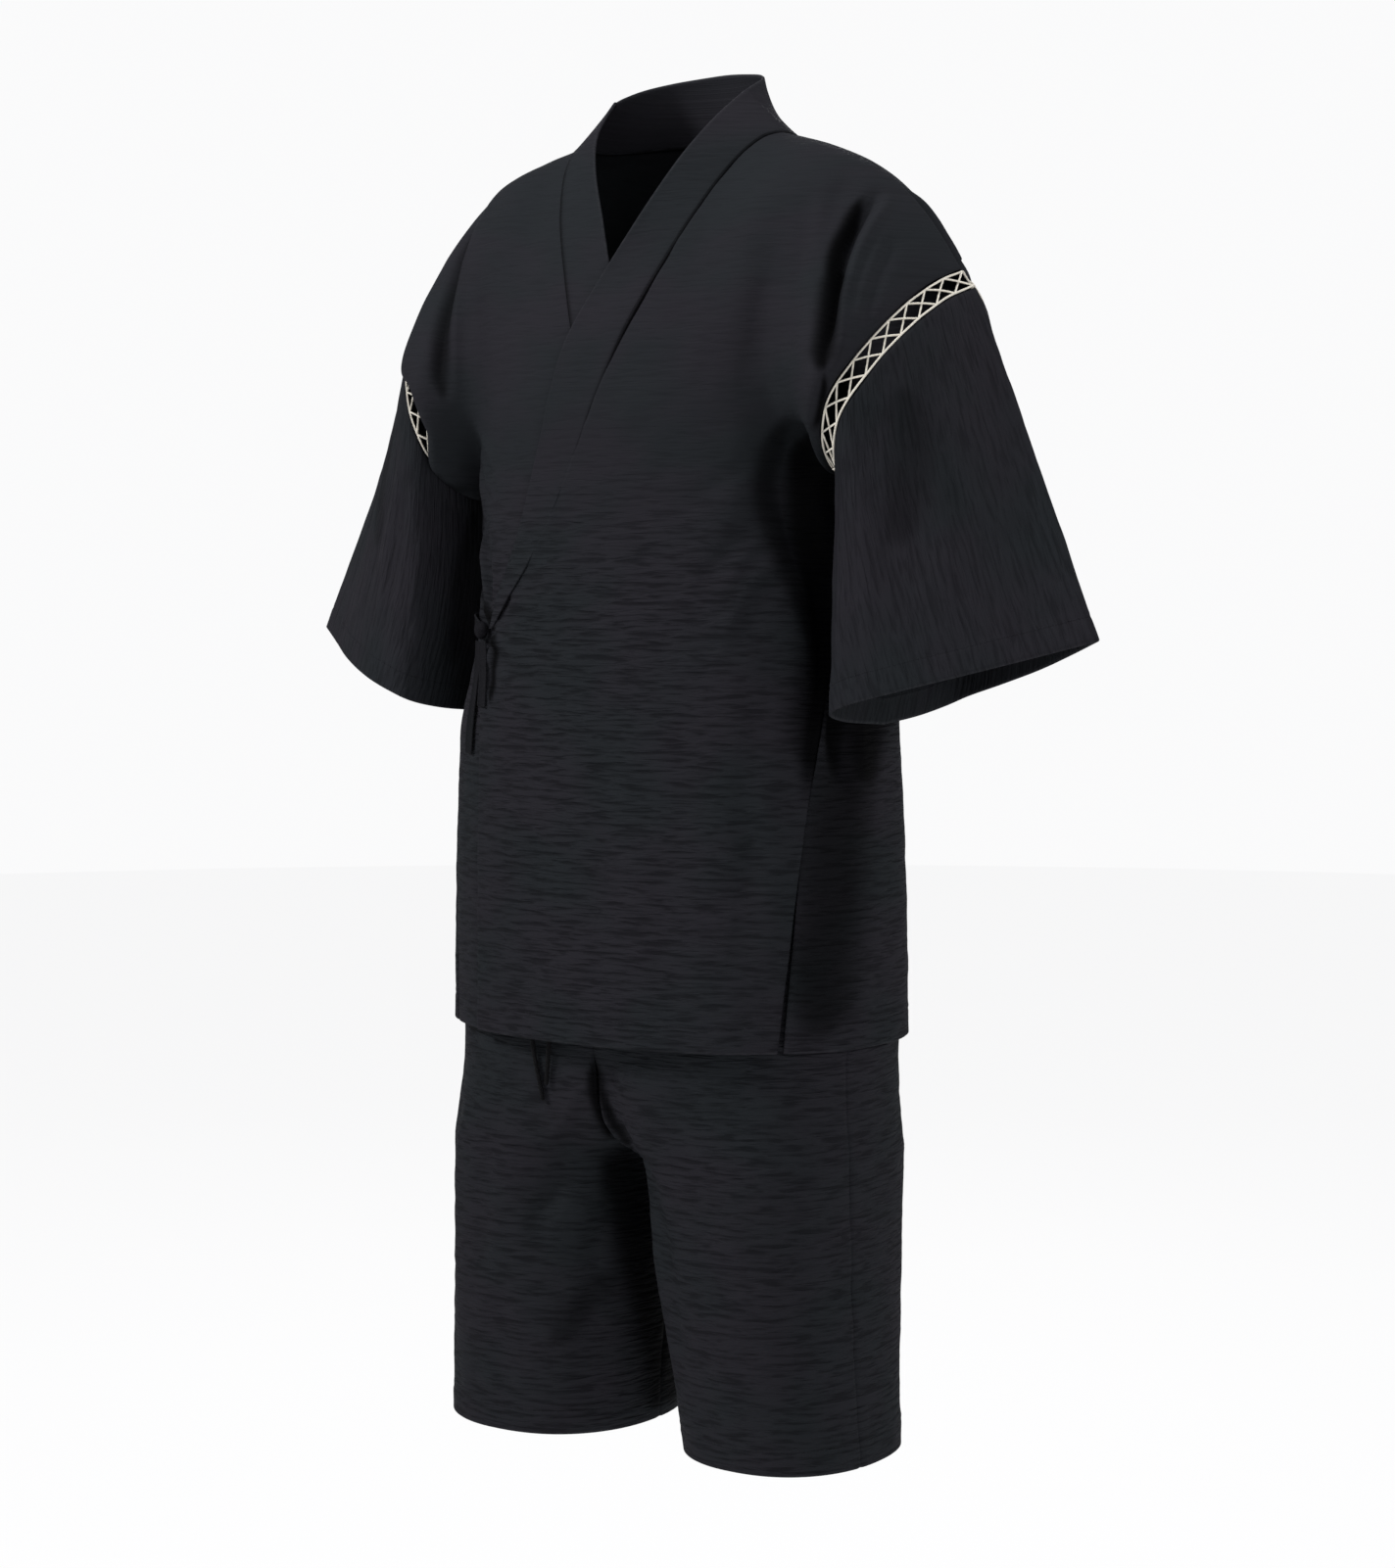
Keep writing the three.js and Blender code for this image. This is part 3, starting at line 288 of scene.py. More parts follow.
# Painted shade: the deepest places in the folds, which little light reaches, are painted darker in the
# cloth's colour. Points on the cloth, width and darkness
SHIRT_PAINTED_SHADE = (
    # left front, the wedge from the shoulder to the armhole
    (((179, -30, -58), (179, -50, -78), (178, -64, -97), (183, -82, -122), (189, -98, -150),
      (188, -102, -186)), 6, 1),
    (((180, -66, -100), (184, -86, -130), (189, -100, -156), (188, -104, -184)), 9.5, 1),
    (((189, -102, -180), (180, -96, -206), (164, -86, -220), (148, -82, -228)), 4, 1),
    # under the left sleeve
    (((152, -80, -208), (138, -84, -236), (132, -86, -262), (138, -78, -294), (150, -66, -340),
      (156, -58, -390)), 11, 0.75),
    (((174, -56, -208), (157, -62, -250), (153, -56, -300), (160, -48, -350), (167, -44, -410),
      (172, -48, -500)), 20, 1),
    (((184, -20, -230), (172, -24, -290), (172, -20, -350), (176, -20, -420), (179, -24, -490)), 27, 1),
    # right front, from the shoulder, and the gathers beside the tie
    (((-158, -48, -60), (-156, -68, -84), (-156, -90, -126), (-148, -102, -163),
      (-144, -100, -196)), 7.5, 0.75),
    (((-162, -78, -236), (-158, -70, -264), (-150, -74, -296)), 6, 0.5),
    (((-166, -58, -312), (-144, -78, -328), (-124, -92, -342), (-102, -108, -354), (-84, -117, -362)), 6, 1),
    (((-84, -118, -364), (-87, -118, -389), (-92, -117, -418)), 3.8, 1),
    # under the right sleeve
    (((-176, -30, -236), (-166, -20, -290), (-168, -16, -350), (-172, -16, -410)), 22, 0.8),
)
# More painted shade, on the back panels only
BACK_PAINTED_SHADE = (
    (((176, -34, -420), (176, -44, -480), (173, -52, -540), (169, -60, -600), (165, -66, -668)), 32, 0.72),
    (((168, 66, -216), (156, 70, -262), (160, 60, -320)), 12, 0.7),
    (((-150, 66, -216), (-146, 70, -262), (-152, 60, -320)), 12, 0.7),
)
# Painted shade on the sleeves
SLEEVE_PAINTED_SHADE = (
    (((172, -40, -266), (178, -46, -330), (181, -50, -400)), 9, 0.55),
    (((234, -72, -186), (241, -70, -225), (240, -74, -262), (234, -84, -306)), 15, 0.4),
)
# Painted shade on the shorts
SHORTS_PAINTED_SHADE = (
    (((0, -114, -672), (1, -112, -700), (7, -106, -724), (14, -99, -742), (20, -94, -752)), 4.6, 0.95),
    (((-10, -78, -752), (-11, -56, -786), (-11, -40, -838), (-14, -24, -878), (-16, -8, -915),
      (-19, 8, -962)), 19, 0.9),
    (((10, -78, -752), (11, -56, -786), (11, -40, -838), (14, -24, -878), (16, -8, -915),
      (19, 8, -962)), 19, 0.8),
    (((-54, -92, -906), (-36, -78, -872), (-18, -48, -842)), 12, 0.42),
    (((-14, 0, -880), (-18, 12, -925), (-22, 22, -968)), 24, 0.95),
    (((14, 0, -880), (18, 12, -925), (22, 22, -968)), 24, 0.95),
    (((-8, 40, -760), (-12, 50, -830), (-20, 50, -930)), 17, 0.6),
    (((8, 40, -760), (12, 50, -830), (20, 50, -930)), 17, 0.6),
)

# Ties at the right side: x and z on the cloth, and how far the knot or strap stands out from it
TIE_WIDTH = 11
TIE_WALL = 1.3
TIE_KNOT = (-107, -364, 6.2)
KNOT_HALVES = (7.8, 5.0, 6.8)
KNOT_TILT = -40
TIE_STRAPS = {
    "tie_strap_side": (
        (-163, -352, 2.1), (-157, -353, 2.3), (-148, -355, 2.7),
        (-138, -357, 3.2), (-128, -360, 3.4), (-117.5, -362.5, 4.6),
    ),
    "tie_tail_long": (
        (-111.5, -373, 5.4), (-114, -388, 3.6), (-117, -408, 2.6), (-119.5, -430, 2.4), (-121, -456, 2.4),
    ),
    "tie_tail_short": ((-99.5, -372.5, 7.6), (-99, -384, 6.3), (-98.5, -400, 5.5), (-99, -420, 5.4)),
}

# The drawstring's ends, in metres
DRAWSTRING_DIAMETER = 0.0036
DRAWSTRING_ENDS = {0: 0.7, -2: 0.9, -1: 0.55}   # how much thinner its first and last stations are
DRAWSTRING = {
    "left": (
        (-0.008, -0.1128, -0.454), (-0.008, -0.1154, -0.4546), (-0.0083, -0.1178, -0.457),
        (-0.0088, -0.1194, -0.461), (-0.0096, -0.1198, -0.467), (-0.012, -0.1198, -0.485),
        (-0.017, -0.1198, -0.52), (-0.022, -0.1199, -0.56), (-0.027, -0.12, -0.6),
        (-0.031, -0.1202, -0.635), (-0.034, -0.1198, -0.658), (-0.0365, -0.1186, -0.676),
        (-0.038, -0.1179, -0.688), (-0.039, -0.1178, -0.698),
    ),
    "right": (
        (-0.024, -0.112, -0.454), (-0.024, -0.1146, -0.4546), (-0.0244, -0.117, -0.457),
        (-0.025, -0.1186, -0.461), (-0.026, -0.119, -0.467), (-0.029, -0.119, -0.485),
        (-0.034, -0.119, -0.52), (-0.039, -0.119, -0.56), (-0.045, -0.119, -0.6),
        (-0.05, -0.1186, -0.635), (-0.0515, -0.1182, -0.658), (-0.05, -0.1176, -0.676),
        (-0.047, -0.1173, -0.69), (-0.044, -0.1173, -0.702), (-0.0425, -0.1173, -0.71),
    ),
}


# Camera
def camera():
    """34 degrees round to the garment's left and a little above its middle."""
    azimuth = math.radians(34)
    distance = 2.3
    yaw = math.radians(0.35)
    pitch = math.radians(4.32)
    data = bpy.data.cameras.new("camera")
    data.lens = 69.8
    data.sensor_width = 36
    data.clip_end = 60
    view = bpy.data.objects.new("camera", data)
    view.location = (distance * math.sin(azimuth), -distance * math.cos(azimuth), -0.307)
    view.rotation_euler = (math.radians(90) - pitch, 0, azimuth - yaw)
    bpy.context.collection.objects.link(view)
    bpy.context.scene.camera = view


camera()


# Arithmetic on arrays
def mix(a, b, t):
    return a + (b - a) * t


def ease(start, stop, value):
    t = np.clip((value - start) / (stop - start), 0, 1)
    return t * t * (3 - 2 * t)


def power(value, exponent):
    return np.sign(value) * np.abs(value) ** exponent


def sine(degrees):
    return np.sin(np.radians(degrees))


def cosine(degrees):
    return np.cos(np.radians(degrees))


def lengths(vectors):
    return np.sqrt((vectors ** 2).sum(-1))


def unit(vectors):
    return vectors / np.maximum(lengths(vectors), 1e-9)[..., None]


def level_of(z):
    return (z - HEM_Z) / (CHEST_Z - HEM_Z)


def height_of(level):
    return mix(HEM_Z, CHEST_Z, level)


def column(rows, name, at):
    """A table's column between its rows, on a smooth curve through them."""
    x, y = rows["at"], rows[name]
    place = np.clip(at, x.min(), x.max())
    last = len(x) - 1
    i = np.clip(np.searchsorted(x, place) - 1, 0, last - 1)
    low, high = np.maximum(np.arange(last + 1) - 1, 0), np.minimum(np.arange(last + 1) + 1, last)
    slope = (y[high] - y[low]) / (x[high] - x[low])
    span = x[i + 1] - x[i]
    t = (place - x[i]) / span
    return (
        (2 * t**3 - 3 * t**2 + 1) * y[i]
        + (t**3 - 2 * t**2 + t) * span * slope[i]
        + (3 * t**2 - 2 * t**3) * y[i + 1]
        + (t**3 - t**2) * span * slope[i + 1]
    )


def smooth_path(points, per_span):
    """Points along a smooth curve through the given ones."""
    rows = {"at": np.arange(len(points), dtype=float)}
    at = np.linspace(0, len(points) - 1, per_span * (len(points) - 1) + 1)
    spots = np.array(points, float)
    return np.stack([column({**rows, "v": spots[:, k]}, "v", at) for k in range(spots.shape[1])], -1)


def noise(u, v, seed):
    """Smooth noise from -1 to 1 with one bump for each unit of u and v."""
    lattice = np.random.default_rng(seed).uniform(-1, 1, (128, 128))
    iu, iv = np.floor(u).astype(int), np.floor(v).astype(int)
    fu, fv = ease(0, 1, u - iu), ease(0, 1, v - iv)
    near = mix(lattice[iv & 127, iu & 127], lattice[iv & 127, (iu + 1) & 127], fu)
    far = mix(lattice[(iv + 1) & 127, iu & 127], lattice[(iv + 1) & 127, (iu + 1) & 127], fu)
    return mix(near, far, fv)


def crinkle(u, v, size, stretch, seed):
    """Crepe ridges: noise drawn out along u, in three sizes. U, v and size are in millimetres."""
    total = 0
    for octave, (scale, share) in enumerate(((1, 0.5), (0.5, 0.32), (0.27, 0.18))):
        wave = size * scale
        drift = 1.5 * noise(u / (6 * wave), v / (9 * wave), seed + 7)
        total = total + share * noise(u / (wave * stretch) + octave, v / wave + drift, seed + octave)
    return total


# The garment's forms, as functions of arrays
def fold_depth(folds, points):
    """How deep the largest folds are at each point."""
    depth = 0
    for start, end, width, size in folds:
        start = np.array(start, float)
        along = np.array(end, float) - start
        t = np.clip((points - start) @ along / (along @ along), 0, 1)
        distance = lengths(points - start - t[..., None] * along)
        taper = ease(0, 0.3, t) * ease(1.02, 0.7, t) + 0.12
        depth = depth + size * taper * np.exp(-((distance / width) ** 2))
    return depth


def carried(points):
    """The right shoulder and its sleeve are carried nearer the middle than the left ones."""
    share = ease(60, 200, -points[..., 0]) * ease(-445, -365, points[..., 2])
    return points + (RIGHT_SHOULDER_IN * share)[..., None] * [1, 0, 0]


def pushed_in(folds, points):
    inward = unit(-points * [1, 1, 0])
    return points + inward * fold_depth(folds, points)[..., None]


def notes_of(cloth, stitch, strength, painted_shade=0.0):
    """What a piece's material reads from its points.

    Cloth is the place on the cloth. Stitch is how far along a row of stitches a point lies, how far from the
    row, and how far from the cloth's edge. Both are in metres. Form is the crepe's strength and how much
    painted shade darkens the point's colour, in deep folds and other shaded places.
    """
    shape = np.broadcast(*cloth).shape
    parts = {"cloth": (*cloth, 0), "stitch": stitch, "form": (strength, painted_shade, 0)}
    scales = {"cloth": MM, "stitch": MM, "form": 1}
    return {
        name: np.stack([np.broadcast_to(part, shape) for part in three], -1) * scales[name]
        for name, three in parts.items()
    }


def nearest_on(cloth, spots):
    return np.array([cloth[lengths(cloth - spot).argmin()] for spot in spots])


def path_on(cloth, spots):
    """A smooth line on the cloth by way of the given points, or None where the cloth is far from them."""
    spots = np.array(spots, float)
    nearest = nearest_on(cloth, spots)
    if lengths(nearest - spots).min() > SNAP:
        return None
    path = nearest_on(cloth, smooth_path(nearest, 7))
    for _ in range(3):
        path[1:-1] = path[1:-1] / 2 + (path[:-2] + path[2:]) / 4
    return path


def from_path(path, points, outward):
    """How far points lie from a path, how far along it, from 0 to 1, and on which side of it."""
    best = np.full(len(points), 1e9)
    along = np.zeros(len(points))
    sideways = np.zeros(len(points))
    for k, (a, b) in enumerate(zip(path[:-1], path[1:])):
        run = b - a
        t = np.clip((points - a) @ run / max(run @ run, 1e-9), 0, 1)
        offset = points - a - t[:, None] * run
        distance = lengths(offset)
        closer = distance < best
        best[closer] = distance[closer]
        along[closer] = (k + t[closer]) / (len(path) - 1)
        turned = (np.cross(outward, run) * offset).sum(-1)
        sideways[closer] = np.sign(turned[closer])
    return best, along, sideways


def lines_on(rows, points, outward, reach):
    """The points near each line of a table, where they lie along and beside it, and the line's own values.

    Reach says how many widths from the line a point may be.
    """
    for spots, width, *values in rows:
        path = path_on(points.reshape(-1, 3), spots)
        if path is None:
            continue
        far = reach * width
        near = np.all((points > path.min(0) - far) & (points < path.max(0) + far), axis=-1)
        yield near, from_path(path, points[near], outward[near]), width, values


def crease_height(creases, points, outward):
    """How far creases lift each point of the cloth, less than 0 in a trough."""
    height = np.zeros(points.shape[:-1])
    for near, (distance, along, sideways), width, (depth, lean) in lines_on(creases, points, outward, 3.6):
        s = distance / width
        roll = abs(lean) * np.exp(-((s * sideways * np.sign(lean) - 1.5) ** 2) * 1.6)
        taper = ease(0, 0.28, along) * ease(1, 0.66, along)
        ends = np.exp(-(np.maximum(0, s - 2.6)) * 3)
        height[near] += depth * taper * ends * (roll - np.exp(-(s**2)))
    return height


def painted_shade_share(hollows, points, outward):
    """How much painted shade darkens each point of the cloth, in folds too deep for the light, from 0 to 1.
    """
    share = np.zeros(points.shape[:-1])
    for near, (distance, along, _), width, (dark,) in lines_on(hollows, points, outward, 3):
        narrow = width * mix(0.35, 1, ease(0, 0.22, along) * ease(1, 0.78, along))
        fade = ease(0, 0.1, along) * ease(1, 0.9, along)
        share[near] = np.maximum(share[near], dark * fade * np.exp(-((distance / narrow) ** 3)))
    return share


def body_form(turn, level):
    """The body's surface without its folds.

    Turn goes from 0 at the front to 180 at the back, and is negative on the right. Level goes from 0 at the
    hem to 1 at the chest, 2 at the shoulders' crest and on down the other side.
    """
    turn, level = np.broadcast_arrays(turn, level)
    over = level > 2
    turn = np.where(over, np.sign(turn) * 180 - turn, turn)
    level = np.where(over, 4 - level, level)
    front = np.abs(turn) <= 90
    side = np.where(turn < 0, -1, 1)
    across = np.where(front, np.abs(turn), 180 - np.abs(turn)) / 90
    sideways = power(sine(across * 90), 2 / SECTION)
    outward = power(np.maximum(cosine(across * 90), 0), 2 / SECTION)
    edge = ease(0.45, 1, across)

    height = height_of(level)
    drop = UNDERARM_DROP * edge * ease(0.55, 1, level)
    depth = np.where(front, -column(BODY, "front", height), column(BODY, "back", height))
    low = np.stack([side * column(BODY, "half", height) * sideways, depth * outward, height - drop], -1)

    roll = np.clip((level - 1) * 90, 0, 90)
    x = column(ARMHOLE, "x", roll) * sideways
    # bulge says how square the section over the shoulder is, from front to back
    bulge = np.where(front, mix(1.5, 2.2, ease(70, 165, x)), mix(3.4, 2.3, ease(50, 165, x)))
    depth = np.where(front, -BODY["front"][-1], BODY["back"][-1])
    rise = power(sine(roll), 2 / bulge)
    reach = power(cosine(roll), 2 / bulge)
    edge_y = np.where(front, column(ARMHOLE, "front", roll), column(ARMHOLE, "back", roll))
    edge_rise = power(sine(roll), 2 / np.where(front, 2.2, 2.3))
    edge_top = column(SHOULDER, "z", column(ARMHOLE, "x", roll))
    edge_z = column(ARMHOLE, "z", roll) - mix(CHEST_Z, edge_top, edge_rise)
    y = depth * outward * reach + edge_y * edge
    z = mix(CHEST_Z, column(SHOULDER, "z", x), rise) + edge_z * edge
    high = np.stack([side * x, y, z], -1)
    return np.where((level <= 1)[..., None], low, high)


def body(turn, level):
    return carried(pushed_in(SHIRT_FOLDS, body_form(turn, level)))


def turn_at(x, level):
    """The turn at which the body's section reaches a given x."""
    low = column(BODY, "half", height_of(level))
    widest = np.where(level <= 1, low, column(ARMHOLE, "x", (level - 1) * 90))
    share = np.clip(np.abs(x) / widest, 0, 1)
    return np.degrees(np.arcsin(power(share, SECTION / 2))) * np.sign(x)


def front_start(side, level):
    """The x where a front's cloth begins: the collar's seam, or below it the front edge."""
    low = column(FRONT_EDGE, side, height_of(level))
    return np.where(level <= 1, low, column(NECKLINE, side, (level - 1) * 90))


def wrap_lift(points):
    """How far out the left front lies, over the right front."""
    return WRAP_LIFT * (1 - ease(110, 136, points[..., 0])) * (1 - ease(-70, -22, points[..., 2]))


def lace_edge(sign, round_, share):
    """The armhole as a loop: 0 at the top of the shoulder, 180 at the underarm, over 180 on the back.

    Share is 0 where the lace leaves the body and 1 where it meets the sleeve.
    """
    round_, share = np.broadcast_arrays(round_, share)
    at = 90 - np.where(round_ <= 180, round_, 360 - round_) / 2
    y = np.where(round_ <= 180, column(ARMHOLE, "front", at), column(ARMHOLE, "back", at))
    points = np.stack([sign * column(ARMHOLE, "x", at), y, column(ARMHOLE, "z", at)], -1)
    direction = SLEEVE_DIRECTION * [sign, 1, 1]
    edge = carried(pushed_in(SHIRT_FOLDS, points))
    return edge + direction * (share * (LACE_WIDTH + 2 * LACE_GAP))[..., None]


def lace_normal(sign, round_, share):
    ahead, behind = lace_edge(sign, (round_ + 1.5) % 360, share), lace_edge(sign, (round_ - 1.5) % 360, share)
    normal = unit(np.cross(ahead - behind, np.broadcast_to(SLEEVE_DIRECTION * [sign, 1, 1], ahead.shape)))
    axis = (lace_edge(sign, 0.0, 0.5) + lace_edge(sign, 180.0, 0.5)) / 2
    outward = lace_edge(sign, round_, share) - axis
    return normal * np.where((normal * outward).sum(-1) < 0, -1, 1)[..., None]


def sleeve_form(sign, round_, t):
    turn = round_ % 360
    at = 90 - np.where(turn <= 180, turn, 360 - turn) / 2
    y = np.where(turn <= 180, column(CUFF, "front", at), column(CUFF, "back", at))
    cuff = np.stack([sign * column(CUFF, "x", at), y, column(CUFF, "z", at)], -1)
    points = mix(lace_edge(sign, turn, 1.0), carried(cuff), t[..., None]) * [sign, 1, 1]
    axis = np.stack([mix(200.0, 250.0, t), 0 * t, points[..., 2]], -1)
    points = points + unit(axis - points) * fold_depth(SLEEVE_FOLDS, points)[..., None]
    return points * [sign, 1, 1]


def leg_form(sign, angle, z):
    """A leg's surface without its folds. The angle is 0 at the outer side, and negative on the back."""
    rows = LEGS[sign]
    x = column(rows, "centre", z) + column(rows, "half", z) * power(cosine(angle), 2 / SECTION)
    depth = np.where(angle >= 0, -column(rows, "front", z), column(rows, "back", z))
    return np.stack([sign * x, depth * power(np.abs(sine(angle)), 2 / SECTION), z + 0 * angle], -1)


def from_leg(sign, points):
    """Outward from a leg's axis."""
    centre = sign * column(LEGS[sign], "centre", points[..., 2])
    return points - np.stack([centre, 0 * centre, points[..., 2]], -1)


def leg(sign, angle, z):
    points = leg_form(sign, angle, z)
    return points - unit(from_leg(sign, points)) * fold_depth(SHORTS_FOLDS, points)[..., None]


def leg_end(sign, z):
    """The angle at which a leg's panel ends: the centre of the body, or below the crotch the inseam."""
    rows = LEGS[sign]
    share = np.clip(column(rows, "centre", z) / column(rows, "half", z), 0, 1)
    share = np.where(z <= CROTCH_Z, 1, share)
    return 180 - np.degrees(np.arccos(power(share, SECTION / 2)))


# Meshes from grids of points
def spans(grid, axis):
    """How far each point of a grid lies along its rows (axis 1) or columns (axis 0)."""
    steps = lengths(np.diff(grid, axis=axis))
    zero = np.zeros_like(np.take(steps, [0], axis=axis))
    return np.concatenate([zero, np.cumsum(steps, axis=axis)], axis=axis)


def grid_normals(grid, outward, closed=False):
    """Normals of a grid of points, on its outward side. A closed grid's rows are rings."""
    if closed:
        wide = np.concatenate([grid[:, -1:], grid, grid[:, :1]], axis=1)
        across = wide[:, 2:] - wide[:, :-2]
    else:
        across = np.gradient(grid, axis=1)
    normal = unit(np.cross(across, np.gradient(grid, axis=0)))
    return normal * np.where((normal * outward).sum(-1).mean() < 0, -1, 1)


def outer_loop(rows, cols):
    """The indices round the border of a grid, in order."""
    top = [(0, i) for i in range(cols)]
    right = [(j, cols - 1) for j in range(1, rows)]
    bottom = [(rows - 1, i) for i in range(cols - 2, -1, -1)]
    left = [(j, 0) for j in range(rows - 2, 0, -1)]
    return np.array(top + right + bottom + left)


def mesh_object(name, points, faces, attributes=()):
    mesh = bpy.data.meshes.new(name)
    mesh.from_pydata((np.asarray(points) * MM).tolist(), [], faces)
    for label, values in attributes:
        data = mesh.attributes.new(label, "FLOAT_VECTOR", "POINT")
        data.data.foreach_set("vector", np.asarray(values, float).ravel())
    mesh.validate()
    mesh.shade_smooth()
    piece = bpy.data.objects.new(name, mesh)
    bpy.context.collection.objects.link(piece)
    return piece


def shell(name, grid, normal, thickness, notes, closed=False):
    """A thin wall round a grid of points, with rounded edges. Notes are values written on its points."""
    rows, cols = grid.shape[:2]
    count = rows * cols
    half = np.broadcast_to(thickness, (rows, cols))[..., None] / 2
    ids = np.arange(count).reshape(rows, cols)
    if closed:
        ring = np.arange(cols)
        loops = [np.stack([0 * ring, ring], 1), np.stack([0 * ring + rows - 1, ring], 1)[::-1]]
        wrapped = np.concatenate([ids, ids[:, :1]], axis=1)
    else:
        loops = [outer_loop(rows, cols)]
        wrapped = ids
    a, b, c, d = wrapped[:-1, :-1], wrapped[:-1, 1:], wrapped[1:, 1:], wrapped[1:, :-1]
    outer = np.stack([a, d, c, b], -1).reshape(-1, 4)
    faces = [outer, outer[:, ::-1] + count]
    points = [(grid + normal * half).reshape(-1, 3), (grid - normal * half).reshape(-1, 3)]
    values = {label: [note.reshape(-1, 3)] * 2 for label, note in notes.items()}
    total = 2 * count
    for loop in loops:
        j, i = loop[:, 0], loop[:, 1]
        inner_j = np.clip(j, 1, rows - 2)
        inner_i = i if closed else np.clip(i, 1, cols - 2)
        away = unit(grid[j, i] - grid[inner_j, inner_i])
        points.append(grid[j, i] + away * half[j, i] * RIM)
        for label, note in notes.items():
            values[label].append(note[j, i])
        here = total + np.arange(len(loop))
        there = np.roll(here, -1)
        edge = ids[j, i]
        edge_next = np.roll(edge, -1)
        faces.append(np.stack([edge, edge_next, there, here], 1))
        faces.append(np.stack([here, there, edge_next + count, edge + count], 1))
        total += len(loop)
    attributes = [(label, np.concatenate(parts)) for label, parts in values.items()]
    piece = mesh_object(name, np.concatenate(points), np.concatenate(faces).tolist(), attributes)
    face_out(piece)
    return piece


def face_out(piece):
    """Turns a closed mesh's faces outward."""
    mesh = piece.data
    mesh.calc_loop_triangles()
    corners = np.empty(3 * len(mesh.loop_triangles), int)
    mesh.loop_triangles.foreach_get("vertices", corners)
    spots = np.empty(3 * len(mesh.vertices))
    mesh.vertices.foreach_get("co", spots)
    a, b, c = spots.reshape(-1, 3)[corners.reshape(-1, 3)].transpose(1, 0, 2)
    if (a * np.cross(b, c)).sum() < 0:
        mesh.flip_normals()


def sweep(name, strands, sides=8):
    """Twisted cords as one mesh. Each strand is its points and the radius at each."""
    points, faces, cloth = [], [], []
    start = 0
    for path, radius in strands:
        count = len(path)
        along = spans(path[None], 1)[0]
        tangent = unit(np.gradient(path, axis=0))
        frame_x = np.cross(tangent[0], [0.31, 0.22, 0.93])
        ring = np.arange(sides) * 2 * math.pi / sides
        for k in range(count):
            frame_x = frame_x - (frame_x @ tangent[k]) * tangent[k]
            frame_x = frame_x / np.linalg.norm(frame_x)
            frame_y = np.cross(tangent[k], frame_x)
            reach = radius[k] * (1 + 0.13 * np.cos(2 * (ring - along[k] * 1.5)))
            circle = np.cos(ring)[:, None] * frame_x + np.sin(ring)[:, None] * frame_y
            points.append(path[k] + circle * reach[:, None])
            cloth.append(np.stack([0 * ring + along[k], ring * radius[k], 0 * ring], 1) * MM)
        ids = start + np.arange(count * sides).reshape(count, sides)
        nxt = np.roll(ids, -1, axis=1)
        faces += np.stack([ids[:-1], nxt[:-1], nxt[1:], ids[1:]], -1).reshape(-1, 4).tolist()
        faces += [ids[0, ::-1].tolist(), ids[-1].tolist()]
        start += count * sides
    piece = mesh_object(name, np.concatenate(points), faces, [("cloth", np.concatenate(cloth))])
    face_out(piece)
    return piece


# Cloth panels
SEEDS = {
    "front_left": 3, "front_right": 5, "back_left": 11, "back_right": 13,
    "sleeve_left": 31, "sleeve_right": 37,
    "shorts_front_left": 51, "shorts_back_left": 53, "shorts_front_right": 57, "shorts_back_right": 59,
    "collar": 21, "lace": 41, "waistband": 61,
}
CREPE_HEIGHT = 0.5      # of the crepe's ridges
CREPE_SIZE = 10         # across the crepe's largest ridges
CREPE_STRETCH = 5       # how many times longer than wide they are


def crepe_height(run, rise, seed):
    return CREPE_HEIGHT * crinkle(run + 900, rise + 1500, CREPE_SIZE, CREPE_STRETCH, seed)


def crepe_calm(z):
    """How strong the crepe is at each height of the shirt's body: it lies smoother on the chest."""
    return mix(1, 0.2, ease(-340, -210, z))


